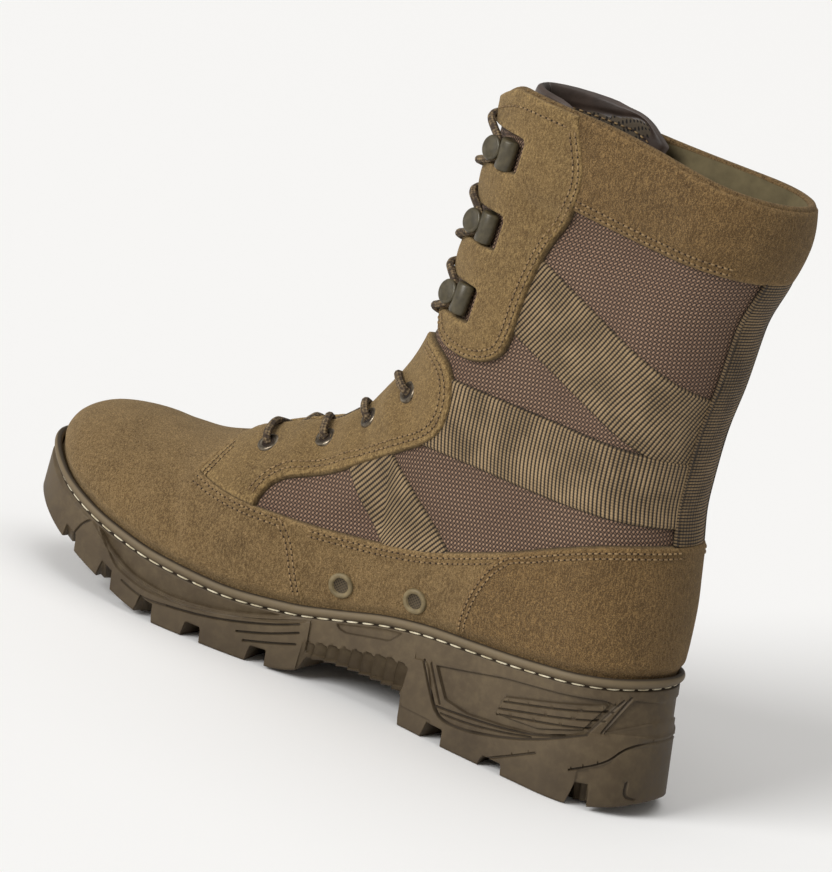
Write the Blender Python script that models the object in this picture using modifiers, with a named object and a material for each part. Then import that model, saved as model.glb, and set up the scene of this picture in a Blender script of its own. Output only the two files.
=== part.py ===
"""Right tactical boot: a hollow upper with sewn overlays on a lugged cup sole.

The toe points to +X, the medial side to +Y, and the boot stands on z = 0. Sizes are in
millimetres, with x counted from the heel, and become metres when a mesh is made. One
function, half_width, gives the form of the last; the upper, the overlays, the tongue and
the outline of the sole are all worked out from it.
"""
import math
from collections import namedtuple

import bmesh
import bpy
import numpy as np
from mathutils import Matrix, Vector

MM = 0.001
GAP = 0.3                # clearance between neighbouring pieces
FAR = 90.0               # cutters reach this far to the side

# Driving sizes of the last
LAST_HEEL = 6.5          # back of the last at the feather line
LAST_TOE = 307.5         # tip of the last
TOE_ROUND = 56.0         # length over which the plan closes at the toe
TOE_POWER = 2.5          # a blunt toe closes later than an ellipse
BACK_ROUND = 33.0        # depth over which heel and shaft close at the back
CUFF_SWELL = 2.5         # padding of the cuff
CUFF_LOW = 218.0
CUFF_FULL = 238.0
CUFF_SEAM_BACK = 227.0   # lower edge of the cuff at the back
STRAIGHT_RISE = 7.0      # upright stretch of wall above the feather line
SHAFT_RISE = 105.0       # height over which the foot's width becomes the shaft's
SIDE_SWELL = 2.2         # swell of the sides above the sole
SWELL_HEIGHT = 38.0
INSTEP_X = 170.0         # the shaft's width fades out over the forefoot
INSTEP_FADE = 70.0

# Wall and overlay sizes
WALL = 2.0
OVERLAY = 1.3
CUP_DEPTH = 6.0          # how far the upper stands inside the sole's rim
RIM = 3.5                # width of the sole's bead outside the upper
RIM_CLEAR = 0.7          # clearance of the rim to the faceted wall of the upper
INSOLE_INSET = 4.6
INSOLE_THICK = 3.2
TONGUE_DEPTH = WALL + 2.3
TONGUE_THICK = 3.5
TONGUE_RISE = 9.0        # height of the tongue above the collar, at its middle
TONGUE_FALL = 0.55       # share of that height that the wings lose at their ends
TONGUE_LEAN = 0.075      # forward lean of the tongue's top for each millimetre of its front
TONGUE_FRONT = 27.0      # depth of the front that leans
BACK_STRAP_HALF = 12.0
THROAT_REACH = 38.0      # depth of the last that the throat's pieces can follow
SLOPE_STEP = 0.6         # distance across which a slope is measured

# Hardware and laces
EYELET_MAJOR = 3.9
EYELET_MINOR = 1.1
EYELET_SEGMENTS = 8
HOOK_FOOT = (4.5, 1.6)   # radius, height
HOOK_STEM = (2.8, 3.4)
HOOK_DISC = (5.2, 1.6)
HOOK_SEGMENTS = 8
HOOK_SEAT = 0.95         # the facets of the eyestay lie this far under the rounded form
VENT_RADIUS = 5.2
VENT_HEIGHT = 1.5
VENT_PROFILE = ((1.0, 0.0), (1.0, 0.6), (0.84, 1.0), (0.56, 1.0), (0.5, 0.4))
VENT_SEGMENTS = 8
VENT_SEAT = 0.8          # the quarter is hollow under the flat back of a vent
LACE_RADIUS = 1.7
LACE_LIFT = GAP + OVERLAY + LACE_RADIUS + 1.0
LACE_STEPS = 4
LACE_START = 0.14        # the second strand leaves the bar after this share of its first crossing
LACE_INSET = 7.6         # the lace stops this far towards the throat from an eyelet

# Mesh steps
WELD = 0.02 * MM
SECTION_COUNT = 42
ARC_COUNT = 7
SOLE_STATIONS = 38
FINE = 160
BEND_WEIGHT = 22.0       # a radian of bend counts as this much length
RIDGE_WEIGHT = 0.6       # spacing of the sections counts the ridge less than the base
RIDGE_FLAT = 2.0         # a line closes straight over the ridge from this half width

PlanRow = namedtuple("PlanRow", "x medial lateral centre")
LAST_PLAN = (
    PlanRow(6.5, 31.0, 31.0, 0.0),
    PlanRow(40.0, 32.0, 33.0, 0.0),
    PlanRow(80.0, 31.5, 36.5, 0.0),
    PlanRow(110.0, 29.5, 39.5, 0.0),
    PlanRow(140.0, 30.5, 44.5, 0.0),
    PlanRow(170.0, 36.5, 50.0, 0.0),
    PlanRow(200.0, 43.0, 52.5, 0.0),
    PlanRow(225.0, 45.0, 50.5, 0.5),
    PlanRow(250.0, 42.5, 46.0, 2.5),
    PlanRow(280.0, 38.0, 39.0, 4.0),
    PlanRow(307.5, 29.0, 29.0, 6.5),
)

ShaftWidth = namedtuple("ShaftWidth", "z medial lateral")
SHAFT_PLAN = (
    ShaftWidth(100.0, 36.5, 36.5), ShaftWidth(160.0, 36.0, 35.5), ShaftWidth(215.0, 33.5, 31.5),
    ShaftWidth(264.0, 32.0, 28.5),
)

HeightRow = namedtuple("HeightRow", "x z")
BEAD = (
    HeightRow(6.5, 59.0), HeightRow(23.0, 55.2), HeightRow(58.0, 50.0), HeightRow(98.0, 46.0),
    HeightRow(120.0, 42.3), HeightRow(145.0, 35.5), HeightRow(165.0, 31.0), HeightRow(195.0, 28.2),
    HeightRow(227.0, 29.8), HeightRow(251.0, 33.5), HeightRow(278.0, 40.8), HeightRow(307.5, 53.0),
)
TREAD = (
    HeightRow(6.5, 7.0), HeightRow(12.0, 3.5), HeightRow(20.0, 0.8), HeightRow(28.0, 0.0),
    HeightRow(103.0, 0.0), HeightRow(105.5, 12.5), HeightRow(125.0, 13.5), HeightRow(150.0, 11.0),
    HeightRow(152.5, 3.6), HeightRow(168.0, 0.8), HeightRow(182.0, 0.0), HeightRow(220.0, 0.0),
    HeightRow(236.0, 3.0), HeightRow(252.0, 8.0), HeightRow(280.0, 18.0), HeightRow(307.5, 29.0),
)

RoundRow = namedtuple("RoundRow", "x depth")
RIDGE_ROUND = (
    RoundRow(150.0, 39.0), RoundRow(175.0, 45.0), RoundRow(205.0, 46.0), RoundRow(229.0, 44.0),
    RoundRow(250.0, 40.0), RoundRow(272.0, 34.0), RoundRow(291.0, 22.0), RoundRow(307.5, 9.0),
)

# Side view: each row pairs a point of the ridge with a point of the feather line or the back
FootRow = namedtuple("FootRow", "name ridge_x ridge_z base_x opening")
FOOT = (
    FootRow("toe tip", 307.5, 54.0, 307.5, 0.0),
    FootRow("toe front", 302.5, 62.0, 304.0, 0.0),
    FootRow("toe cap", 291.0, 69.5, 294.0, 0.0),
    FootRow("cap rear", 272.0, 73.0, 276.0, 0.0),
    FootRow("vamp", 250.0, 74.0, 254.0, 0.0),
    FootRow("ball", 229.0, 79.0, 231.0, 0.0),
    FootRow("throat", 209.0, 92.0, 207.0, 9.0),
    FootRow("low instep", 190.0, 101.5, 183.0, 11.0),
    FootRow("instep", 175.0, 111.0, 160.0, 12.5),
    FootRow("high instep", 163.0, 126.5, 135.0, 13.5),
    FootRow("crease", 152.0, 150.0, 105.0, 14.5),
    FootRow("ankle", 148.0, 172.0, 66.0, 15.0),
    FootRow("heel side", 147.0, 186.0, 30.0, 15.0),
    FootRow("heel back", 147.0, 196.0, 6.5, 15.5),
)
ShaftRow = namedtuple("ShaftRow", "name ridge_x ridge_z base_x base_z opening")
SHAFT = (
    ShaftRow("counter", 147.0, 204.0, 9.0, 84.0, 15.5),
    ShaftRow("counter top", 147.0, 212.0, 14.0, 110.0, 16.0),
    ShaftRow("ankle back", 147.0, 221.0, 18.5, 132.0, 16.0),
    ShaftRow("shaft back", 147.5, 231.0, 19.5, 158.0, 16.0),
    ShaftRow("shaft middle", 148.0, 240.0, 17.5, 182.0, 16.0),
    ShaftRow("shaft top", 148.5, 247.0, 16.5, 206.0, 16.0),
    ShaftRow("cuff low", 149.0, 254.0, 11.5, 227.0, 16.5),
    ShaftRow("cuff", 149.5, 260.0, 9.5, 247.0, 17.0),
    ShaftRow("collar", 150.0, 264.0, 10.5, 259.5, 17.0),
)
CORNER = float(len(FOOT) - 1)            # row index of the heel's bottom back corner
TOP = float(len(FOOT) + len(SHAFT) - 1)  # row index of the collar

# Seams in side view, shared by the overlays on both sides of them
VAMP_REAR = ((159.6, 33.4), (164.0, 44.0), (167.0, 52.0), (171.0, 59.5), (178.0, 64.5))
VAMP_TOP = ((178.0, 64.5), (193.0, 63.5), (210.0, 63.3), (225.5, 65.3), (222.0, 77.0), (216.0, 100.0))
VAMP_FRONT = ((330.0, 110.0), (330.0, 54.5))
QUARTER_TOP = ((178.0, 64.5), (162.0, 65.5), (142.0, 68.0), (123.0, 71.5), (105.0, 76.5), (76.0, 88.5))
COUNTER_FRONT = ((76.0, 88.5), (83.0, 81.0), (87.5, 70.0), (90.0, 58.0), (90.5, 47.0))
COUNTER_TOP = ((76.0, 88.5), (55.0, 99.0), (30.0, 110.0), (-10.0, 118.0))
LOW_STAY_REAR = (
    (193.0, 63.5), (193.0, 69.0), (189.0, 77.0), (178.0, 82.5), (165.0, 89.0), (153.0, 98.0),
    (139.0, 108.5), (121.5, 121.0), (118.5, 135.0), (122.0, 148.0), (133.0, 155.5), (160.0, 158.5),
)
UP_STAY_REAR = (
    (104.0, 275.0), (99.0, 262.0), (92.5, 250.0), (90.5, 240.0), (92.0, 231.5), (96.0, 219.0),
    (100.0, 206.0), (102.0, 190.0), (102.0, 168.5), (106.5, 162.0), (116.0, 157.5), (128.0, 157.5),
    (137.5, 160.5), (142.0, 167.0),
)
LOW_STRAP = (
    (131.5, 69.9), (157.5, 94.5), (153.0, 98.0), (140.5, 107.4), (102.0, 77.7), (105.0, 76.5),
    (123.0, 71.5),
)
MID_STRAP = (
    (126.5, 117.5), (121.5, 121.0), (118.5, 135.0), (121.7, 147.0), (0.0, 147.5), (0.0, 122.0),
    (63.0, 117.0),
)
UP_STRAP = ((99.8, 206.5), (102.0, 190.0), (102.0, 175.0), (31.0, 147.5), (0.0, 147.5), (0.0, 165.0))

SidePoint = namedtuple("SidePoint", "x z")
EYELETS = (SidePoint(203, 86), SidePoint(178, 98), SidePoint(160, 114), SidePoint(143, 132.5))
HOOKS = (SidePoint(137, 179), SidePoint(136, 211), SidePoint(136, 243))
VENTS = (SidePoint(146, 46.5), SidePoint(111.5, 53.0))

# Sole: each row is a loop round the outline, from the tread up to the bead
SoleRow = namedtuple("SoleRow", "name outset flare")
SOLE_LOOPS = (
    SoleRow("tread", RIM - 1.3, 8.5),
    SoleRow("tread edge", RIM + 0.2, 8.5),
    SoleRow("lug top", RIM + 0.6, 6.5),
    SoleRow("wall low", RIM - 0.7, 5.6),
    SoleRow("wall high", RIM - 0.7, 1.4),
    SoleRow("bead low", RIM + 0.4, 0.3),
    SoleRow("bead high", RIM + 0.4, 0.0),
    SoleRow("bead crown", RIM - 0.8, 0.0),
    SoleRow("rim inside", RIM_CLEAR, 0.0),
    SoleRow("cup floor", RIM_CLEAR, 0.0),
)
FLARE_LENGTH = 45.0      # the heel flares to the back over this length
LUG_SHARE = 0.30         # lugs take up this share of the wall's height
LUG_MARGIN = 2.6
FOREFOOT_X = 200.0       # ahead of this the lugs follow the toe spring
BEAD_HEIGHT = 8.4
BEAD_ROUND = 1.2
STEP = 1.0

# Notches between the lugs: place on the outline, width, depth, slant
NotchRow = namedtuple("NotchRow", "x width depth slant")
NOTCHES = (
    NotchRow(19.0, 8.5, 6.0, 38.0), NotchRow(56.0, 10.0, 5.5, 8.0), NotchRow(85.5, 9.5, 5.5, 0.0),
    NotchRow(173.5, 8.5, 5.0, -6.0), NotchRow(200.5, 8.5, 5.5, -8.0), NotchRow(225.0, 8.0, 5.5, -14.0),
    NotchRow(248.0, 6.5, 5.5, -24.0), NotchRow(270.0, 6.0, 5.5, -40.0),
)
NOTCH_REACH = 24.0       # how far a notch runs in from the side
NOTCH_OVER = 9.0         # and how far its cutter stands out
NOTCH_LOW = -8.0         # the cutter starts below the ground

# Grooves cut into the wall of the arch and the heel
GROOVE_DEPTH = 1.6
ARCH_GROOVES = 8
ARCH_FRONT = 150.0
ARCH_BACK = 110.0
ARCH_GROOVE_WIDTH = 2.4
ARCH_MARGIN_LOW = 4.2    # plain wall below the grooves
ARCH_MARGIN_HIGH = 2.4   # and above them
ARCH_CUT = 8.0           # reach of the cutter across the wall
HEEL_BARS = ((98.0, 94.0), (91.5, 87.5))    # top and bottom x of the two slanted bars
HEEL_BAR_WIDTH = 3.2
HEEL_BAR_Z = (14.0, 30.5)
HEEL_PANEL = ((83.0, 17.5), (88.0, 31.5), (20.0, 43.0), (22.0, 31.0))
HEEL_RIBS = 5
HEEL_GROOVE_SHARE = 0.55

BODY = "tactical_boot"
CUTTERS = "tactical_boot_cutters"
SIDES = (("medial", 1), ("lateral", -1))

Look = namedtuple("Look", "colour roughness metallic")
LOOKS = {
    "rubber": Look((0.115, 0.085, 0.048), 0.75, 0.0),
    "suede": Look((0.245, 0.155, 0.066), 0.9, 0.0),
    "nylon": Look((0.125, 0.083, 0.056), 0.85, 0.0),
    "webbing": Look((0.15, 0.105, 0.05), 0.85, 0.0),
    "leather": Look((0.075, 0.045, 0.03), 0.6, 0.0),
    "metal": Look((0.13, 0.115, 0.075), 0.45, 0.8),
    "lace": Look((0.13, 0.095, 0.05), 0.9, 0.0),
    "sock": Look((0.05, 0.042, 0.03), 0.95, 0.0),
}


# Curves and rounding

def smooth(xs, ys, at):
    """Read the monotone cubic through (xs, ys) at the places `at`."""
    xs = np.asarray(xs, float)
    ys = np.asarray(ys, float)
    step = np.diff(xs)
    slope = np.diff(ys) / step
    tangent = np.concatenate(([slope[0]], np.zeros(len(xs) - 2), [slope[-1]]))
    before, after = slope[:-1], slope[1:]
    rising = before * after > 0
    tangent[1:-1] = np.where(rising, 2 * before * after / np.where(rising, before + after, 1.0), 0.0)
    at = np.clip(np.asarray(at, float), xs[0], xs[-1])
    i = np.clip(np.searchsorted(xs, at, side="right") - 1, 0, len(step) - 1)
    s = (at - xs[i]) / step[i]
    return (ys[i] * (1 + 2 * s) * (1 - s) ** 2 + tangent[i] * step[i] * s * (1 - s) ** 2
            + ys[i + 1] * s * s * (3 - 2 * s) + tangent[i + 1] * step[i] * s * s * (s - 1))


def column(table, name, at, key="x"):
    """Read one named column of a table of rows at the places `at` of its key column."""
    return smooth([getattr(row, key) for row in table], [getattr(row, name) for row in table], at)


def ellipse(share, power=2.0):
    """Quarter ellipse: 0 at an edge, 1 once the share of the rounding depth is used up."""
    share = np.clip(share, 0.0, 1.0)
    return (1.0 - (1.0 - share) ** power) ** (1.0 / power)


def ease(share):
    """Smooth step from 0 to 1."""
    share = np.clip(share, 0.0, 1.0)
    return share * share * (3 - 2 * share)


def bead_z(x):
    return column(BEAD, "z", x)


def feather_z(x):
    """Height of the upper's bottom edge, inside the rim of the sole."""
    return bead_z(x) - CUP_DEPTH


def tread_z(x):
    return column(TREAD, "z", x)


def centre_y(x):
    return column(LAST_PLAN, "centre", x)


# Form of the last

def ridge_rows():
    return FOOT + SHAFT


def ridge_at(u):
    """Ridge point and half opening of the throat at the row index u."""
    rows = ridge_rows()
    index = np.arange(len(rows))
    names = ("ridge_x", "ridge_z", "opening")
    return [smooth(index, [getattr(row, name) for row in rows], u) for name in names]


def base_at(u):
    """Point of the feather line, or of the back above the heel, at the row index u."""
    u = np.asarray(u, float)
    rows = ridge_rows()
    x = smooth(np.arange(len(rows)), [row.base_x for row in rows], u)
    heights = [float(feather_z(LAST_HEEL))] + [row.base_z for row in SHAFT]
    back = smooth(CORNER + np.arange(len(heights)), heights, u)
    return x, np.where(u <= CORNER, feather_z(x), back)


class SideLine:
    """A line of the side view, with distances to it."""

    def __init__(self, x, z):
        self.points = np.stack([x, z], axis=1)

    def distance(self, x, z):
        """Distance of each point (x, z) to the line."""
        spot = np.stack([x, z], axis=-1)[:, None, :]
        start, run = self.points[:-1], np.diff(self.points, axis=0)
        share = np.clip(((spot - start) * run).sum(-1) / (run * run).sum(-1), 0.0, 1.0)
        return np.linalg.norm(spot - start - share[..., None] * run, axis=-1).min(axis=1)


def make_lines():
    """The ridge of the boot and its back, as lines of the side view."""
    x, z, _ = ridge_at(np.linspace(0.0, TOP, 3 * FINE))
    return SideLine(x, z), SideLine(*base_at(np.linspace(CORNER, TOP, FINE)))


RIDGE, BACK = make_lines()


def half_width(side, x, z):
    """Half width of the last at side-view points, on the medial (1) or lateral (-1) side."""
    x, z = np.broadcast_arrays(np.atleast_1d(np.asarray(x, float)), np.atleast_1d(np.asarray(z, float)))
    word = "medial" if side > 0 else "lateral"
    toe = ellipse((LAST_TOE - x) / TOE_ROUND, TOE_POWER)
    plan = column(LAST_PLAN, word, x) * toe
    rise = z - feather_z(x) - STRAIGHT_RISE
    shaft = column(SHAFT_PLAN, word, z, "z") + CUFF_SWELL * ease((z - CUFF_LOW) / (CUFF_FULL - CUFF_LOW))
    lean = ease(rise / SHAFT_RISE) * (1 - ease((x - INSTEP_X) / INSTEP_FADE))
    swell = SIDE_SWELL * np.sin(math.pi * np.clip(rise / SWELL_HEIGHT, 0.0, 1.0)) * toe
    over = ellipse(RIDGE.distance(x, z) / column(RIDGE_ROUND, "depth", x))
    behind = ellipse(BACK.distance(x, z) / BACK_ROUND)
    core = plan + (shaft - plan) * lean + swell
    return core * over * behind


def surface(side, x, z):
    """Points of the last's surface at side-view points."""
    x, z = np.broadcast_arrays(np.atleast_1d(np.asarray(x, float)), np.atleast_1d(np.asarray(z, float)))
    return np.stack([x, centre_y(x) + side * half_width(side, x, z), z], axis=-1)


def surface_frame(side, spot):
    """Point and outward normal of the surface at one side-view point."""
    reach = 1.0
    here, ahead, above = surface(side, [spot.x, spot.x + reach, spot.x], [spot.z, spot.z, spot.z + reach])
    normal = np.cross(above - here, ahead - here) * side
    return here, normal / np.linalg.norm(normal)


def even_points(points, count):
    """Divide a line of points evenly along its own length, with closer steps where it bends."""
    steps = np.diff(points, axis=0)
    lengths = np.linalg.norm(steps, axis=1)
    heading = steps / np.maximum(lengths, 1e-9)[:, None]
    bend = np.arccos(np.clip((heading[1:] * heading[:-1]).sum(1), -1.0, 1.0))
    lengths = np.concatenate(([0.0], np.cumsum(lengths + BEND_WEIGHT * np.append(bend, 0.0))))
    at = np.linspace(0.0, lengths[-1], count + 1)
    return np.stack([np.interp(at, lengths, points[:, k]) for k in range(3)], axis=1)


def section_line(side, u):
    """One line of the upper, from its base to the ridge or to the edge of the throat."""
    share = 0.5 - 0.5 * np.cos(np.linspace(0.0, math.pi, FINE))
    base_x, base_z = base_at(u)
    ridge_x, ridge_z, opening = ridge_at(u)
    x = base_x + (ridge_x - base_x) * share
    z = base_z + (ridge_z - base_z) * share
    points = surface(side, x, z)
    if u >= CORNER:
        points[0, 1] = centre_y(x[0])
    width = np.abs(points[:, 1] - centre_y(x))
    narrow = (width < max(opening, RIDGE_FLAT)) & (share > 0.5)
    points = points[:int(np.argmax(narrow))] if narrow.any() else points
    if opening == 0.0:
        points = np.vstack([points, (ridge_x, centre_y(ridge_x), ridge_z)])
    return even_points(points, ARC_COUNT)


def even_rows():
    """Row indices that space the upper's lines evenly along base and ridge."""
    u = np.linspace(0.0, TOP, 6 * FINE)
    base_x, base_z = base_at(u)
    ridge_x, ridge_z, _ = ridge_at(u)
    base = surface(1, base_x, base_z)
    ridge = np.stack([ridge_x, np.zeros_like(u), ridge_z], axis=1)
    steps = [np.linalg.norm(np.diff(line, axis=0), axis=1) for line in (base, ridge)]
    length = np.concatenate(([0.0], np.cumsum(steps[0] + RIDGE_WEIGHT * steps[1])))
    return np.interp(np.linspace(0.0, length[-1], SECTION_COUNT + 1), length, u)


# Objects and materials

def clear_scene():
    for old in list(bpy.data.objects):
        bpy.data.objects.remove(old, do_unlink=True)


def make_collection(name):
    found = bpy.data.collections.get(name) or bpy.data.collections.new(name)
    if found.name not in bpy.context.scene.collection.children:
        bpy.context.scene.collection.children.link(found)
    return found


def make_material(name):
    look = LOOKS[name]
    material = bpy.data.materials.get(name) or bpy.data.materials.new(name)
    material.use_nodes = True
    shader = material.node_tree.nodes["Principled BSDF"]
    shader.inputs["Base Color"].default_value = (*look.colour, 1.0)
    shader.inputs["Roughness"].default_value = look.roughness
    shader.inputs["Metallic"].default_value = look.metallic
    return material


def to_metres(points, origin):
    return [Vector(point) * MM for point in (np.asarray(points, float) - origin)]


def mesh_object(name, mesh, look=None):
    """Link a mesh as a part with its material, or as a hidden cutter when it has no look."""
    thing = bpy.data.objects.new(name, mesh)
    bpy.data.collections[BODY if look else CUTTERS].objects.link(thing)
    if look:
        mesh.materials.append(make_material(look))
    else:
        thing.hide_render = True
        thing.display_type = "WIRE"
    return thing


def finish_mesh(shape, name):
    mesh = bpy.data.meshes.new(name)
    shape.to_mesh(mesh)
    shape.free()
    return mesh


def add_modifier(thing, kind, **settings):
    modifier = thing.modifiers.new(kind.lower(), kind)
    for key, value in settings.items():
        setattr(modifier, key, value)
    return modifier


def cut(thing, cutter, operation="DIFFERENCE"):
    add_modifier(thing, "BOOLEAN", object=cutter, operation=operation, solver="EXACT")


# Upper and overlays

def grid_mesh(name, grids, origin, lift=0.0):
    """Join a medial and a lateral grid of surface points into one open sheet, lifted along its normals."""
    shape = bmesh.new()
    for side, rows in grids:
        made = [[shape.verts.new(point) for point in to_metres(row, origin)] for row in rows]
        for row, following in zip(made[:-1], made[1:]):
            for k in range(len(row) - 1):
                loop = (row[k], following[k], following[k + 1], row[k + 1])
                shape.faces.new(loop if side > 0 else loop[::-1])
    bmesh.ops.remove_doubles(shape, verts=shape.verts, dist=WELD)
    bmesh.ops.dissolve_degenerate(shape, edges=shape.edges, dist=WELD)
    bmesh.ops.triangulate(shape, faces=shape.faces, quad_method="SHORT_EDGE")
    shape.normal_update()
    moves = [(vert, vert.normal * lift * MM) for vert in shape.verts]
    for vert, move in moves:
        vert.co += move
    return finish_mesh(shape, name)


def last_grids():
    rows = even_rows()
    return [(side, [section_line(side, u) for u in rows]) for _, side in SIDES]


def make_upper(grids, origin):
    upper = mesh_object("upper", grid_mesh("upper", grids, origin), "nylon")
    add_modifier(upper, "SOLIDIFY", thickness=WALL * MM, offset=-1.0)
    return upper


def make_skin(name, look, grids, origin):
    """A sheet of overlay thickness that lies just outside the whole upper."""
    skin = mesh_object(name, grid_mesh(name, grids, origin, GAP), look)
    add_modifier(skin, "SOLIDIFY", thickness=OVERLAY * MM, offset=1.0)
    return skin


def shrink(outline, gap):
    """Move each edge of a closed outline inwards by a gap."""
    points = np.asarray(outline, float)
    following = np.roll(points, -1, axis=0)
    area = np.sum(points[:, 0] * following[:, 1] - following[:, 0] * points[:, 1])
    run = following - points
    normal = np.stack([-run[:, 1], run[:, 0]], axis=1) / np.linalg.norm(run, axis=1)[:, None]
    normal *= np.sign(area)
    before = np.roll(normal, 1, axis=0)
    mitre = (normal + before) / (1.0 + (normal * before).sum(1))[:, None]
    return points + mitre * gap


def prism(name, outline, y_range, origin):
    """Cutter: a side-view outline extruded across the boot."""
    shape = bmesh.new()
    points = [(x, y_range[0], z) for x, z in outline]
    face = shape.faces.new([shape.verts.new(point) for point in to_metres(points, origin)])
    grown = bmesh.ops.extrude_face_region(shape, geom=[face])
    tops = [item for item in grown["geom"] if isinstance(item, bmesh.types.BMVert)]
    bmesh.ops.translate(shape, verts=tops, vec=(0.0, (y_range[1] - y_range[0]) * MM, 0.0))
    bmesh.ops.recalc_face_normals(shape, faces=shape.faces)
    return mesh_object(name, finish_mesh(shape, name))


def bead_line(start, end, count=12):
    """Points just above the bead, from one place along the boot to another."""
    x = np.linspace(start, end, count)
    return [tuple(point) for point in np.stack([x, bead_z(x) + 2 * GAP], axis=1)]


def make_overlay(name, look, outline, y_range, grids, origin):
    """Cut one overlay out of the skin with its outline in side view."""
    piece = make_skin(name, look, grids, origin)
    cutter = prism(name + "_outline", shrink(outline, GAP / 2), y_range, origin)
    cut(piece, cutter, "INTERSECT")
    return piece


def make_overlays(grids, origin):
    both = (-FAR, FAR)
    vamp = list(VAMP_REAR) + list(VAMP_TOP[1:]) + list(VAMP_FRONT) + bead_line(LAST_TOE, 160.5)
    make_overlay("vamp", "suede", vamp, both, grids, origin)
    counter = list(COUNTER_TOP) + [(-10.0, 59.0)] + bead_line(6.5, 90.0) + list(COUNTER_FRONT[:0:-1])
    make_overlay("heel_counter", "suede", counter, both, grids, origin)
    band = [(-10.0, CUFF_SEAM_BACK), (-10.0, 275.0)] + list(UP_STAY_REAR[:5])
    make_overlay("collar_band", "suede", band, both, grids, origin)
    strap = [(-20.0, 118.5), (-20.0, CUFF_SEAM_BACK), (60.0, CUFF_SEAM_BACK), (60.0, 99.0), (30.0, 110.5)]
    half = BACK_STRAP_HALF
    make_overlay("back_strap", "webbing", strap, (-half, half), grids, origin)
    quarter = list(QUARTER_TOP) + list(COUNTER_FRONT[1:-1]) + bead_line(90.4, 158.8) + list(VAMP_REAR[1:-1])
    low_stay = list(VAMP_TOP[1:]) + [(160.0, 158.5)] + list(LOW_STAY_REAR[-2:0:-1])
    up_stay = list(UP_STAY_REAR) + [(165.0, 172.0), (165.0, 275.0)]
    side_pieces = (
        ("quarter", "suede", quarter, GAP), ("eyestay_lower", "suede", low_stay, GAP),
        ("eyestay_upper", "suede", up_stay, GAP), ("strap_low", "webbing", LOW_STRAP, GAP),
        ("strap_middle", "webbing", MID_STRAP, half + GAP), ("strap_upper", "webbing", UP_STRAP, half + GAP),
    )
    for word, side in SIDES:
        for name, look, outline, near in side_pieces:
            y_range = sorted((side * near, side * FAR))
            make_overlay(f"{name}_{word}", look, outline, y_range, grids, origin)


# Sole and insole

def outline_loop(outset, flare):
    """Closed loop round the foot: the last's feather outline moved outwards, with a heel flare."""
    share = 0.5 + 0.5 * np.cos(np.linspace(0.0, math.pi, SOLE_STATIONS + 1))
    x = LAST_HEEL + (LAST_TOE - LAST_HEEL) * share
    medial = surface(1, x, feather_z(x))[:, :2]
    lateral = surface(-1, x, feather_z(x))[:, :2]
    loop = np.concatenate([medial, lateral[-2:0:-1]])
    station = np.concatenate([x, x[-2:0:-1]])
    run = np.roll(loop, -1, axis=0) - np.roll(loop, 1, axis=0)
    normal = np.stack([-run[:, 1], run[:, 0]], axis=1) / np.linalg.norm(run, axis=1)[:, None]
    normal *= -1.0 if normal[SOLE_STATIONS // 2, 1] < 0 else 1.0
    heel = 1.0 - ease((station - LAST_HEEL) / FLARE_LENGTH)
    backwards = np.clip(-normal[:, 0], 0.0, 1.0)
    reach = outset + flare * heel * backwards
    return loop + normal * reach[:, None], station


def sole_heights(station):
    """Heights of the sole's loops above the ground, one array for each row of SOLE_LOOPS."""
    tread = tread_z(station)
    bead = bead_z(station)
    spring = np.where(station > FOREFOOT_X, tread, 0.0)
    lug = np.maximum(tread + LUG_MARGIN, spring + LUG_SHARE * (bead - spring))
    low = bead - BEAD_HEIGHT
    return (tread, tread + BEAD_ROUND, lug, lug + STEP, low - STEP, low, bead - BEAD_ROUND, bead, bead,
            feather_z(station) - GAP)


def ladder(shape, loop, up):
    """Close a loop with strips between its medial and lateral points."""
    count = len(loop)
    half = count // 2
    for k in range(half):
        corners = [loop[k], loop[k + 1], loop[(count - k - 1) % count], loop[(count - k) % count]]
        corners = list(dict.fromkeys(corners))
        shape.faces.new(corners[::-1] if up else corners)


def loft(name, loops, origin, look):
    """Closed solid through stacked loops, with ladders for its bottom and top."""
    shape = bmesh.new()
    rings = [[shape.verts.new(point) for point in to_metres(loop, origin)] for loop in loops]
    for lower, upper in zip(rings[:-1], rings[1:]):
        for k in range(len(lower)):
            n = (k + 1) % len(lower)
            shape.faces.new((lower[k], lower[n], upper[n], upper[k]))
    ladder(shape, rings[0], False)
    ladder(shape, rings[-1], True)
    bmesh.ops.recalc_face_normals(shape, faces=shape.faces)
    return mesh_object(name, finish_mesh(shape, name), look)


def sole_loops():
    loops = []
    for number, row in enumerate(SOLE_LOOPS):
        loop, station = outline_loop(row.outset, row.flare)
        loops.append(np.column_stack([loop, sole_heights(station)[number]]))
    return loops


def outline_at(side, x, outset):
    """Point of the sole's outline and its outward normal in plan."""
    here, ahead = surface(side, [x, x + 1.0], feather_z([x, x + 1.0]))[:, :2]
    run = ahead - here
    normal = np.array([-run[1], run[0]]) / np.linalg.norm(run) * side
    return here + normal * outset, normal


def add_box(shape, centre, size, turn, origin):
    """Add one box to a cutter, turned about its height."""
    place = Matrix.Translation(to_metres([centre], origin)[0]) @ Matrix.Rotation(turn, 4, "Z")
    scale = Matrix.Diagonal([*(Vector(size) * MM), 1.0])
    bmesh.ops.create_cube(shape, size=1.0, matrix=place @ scale)


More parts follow.
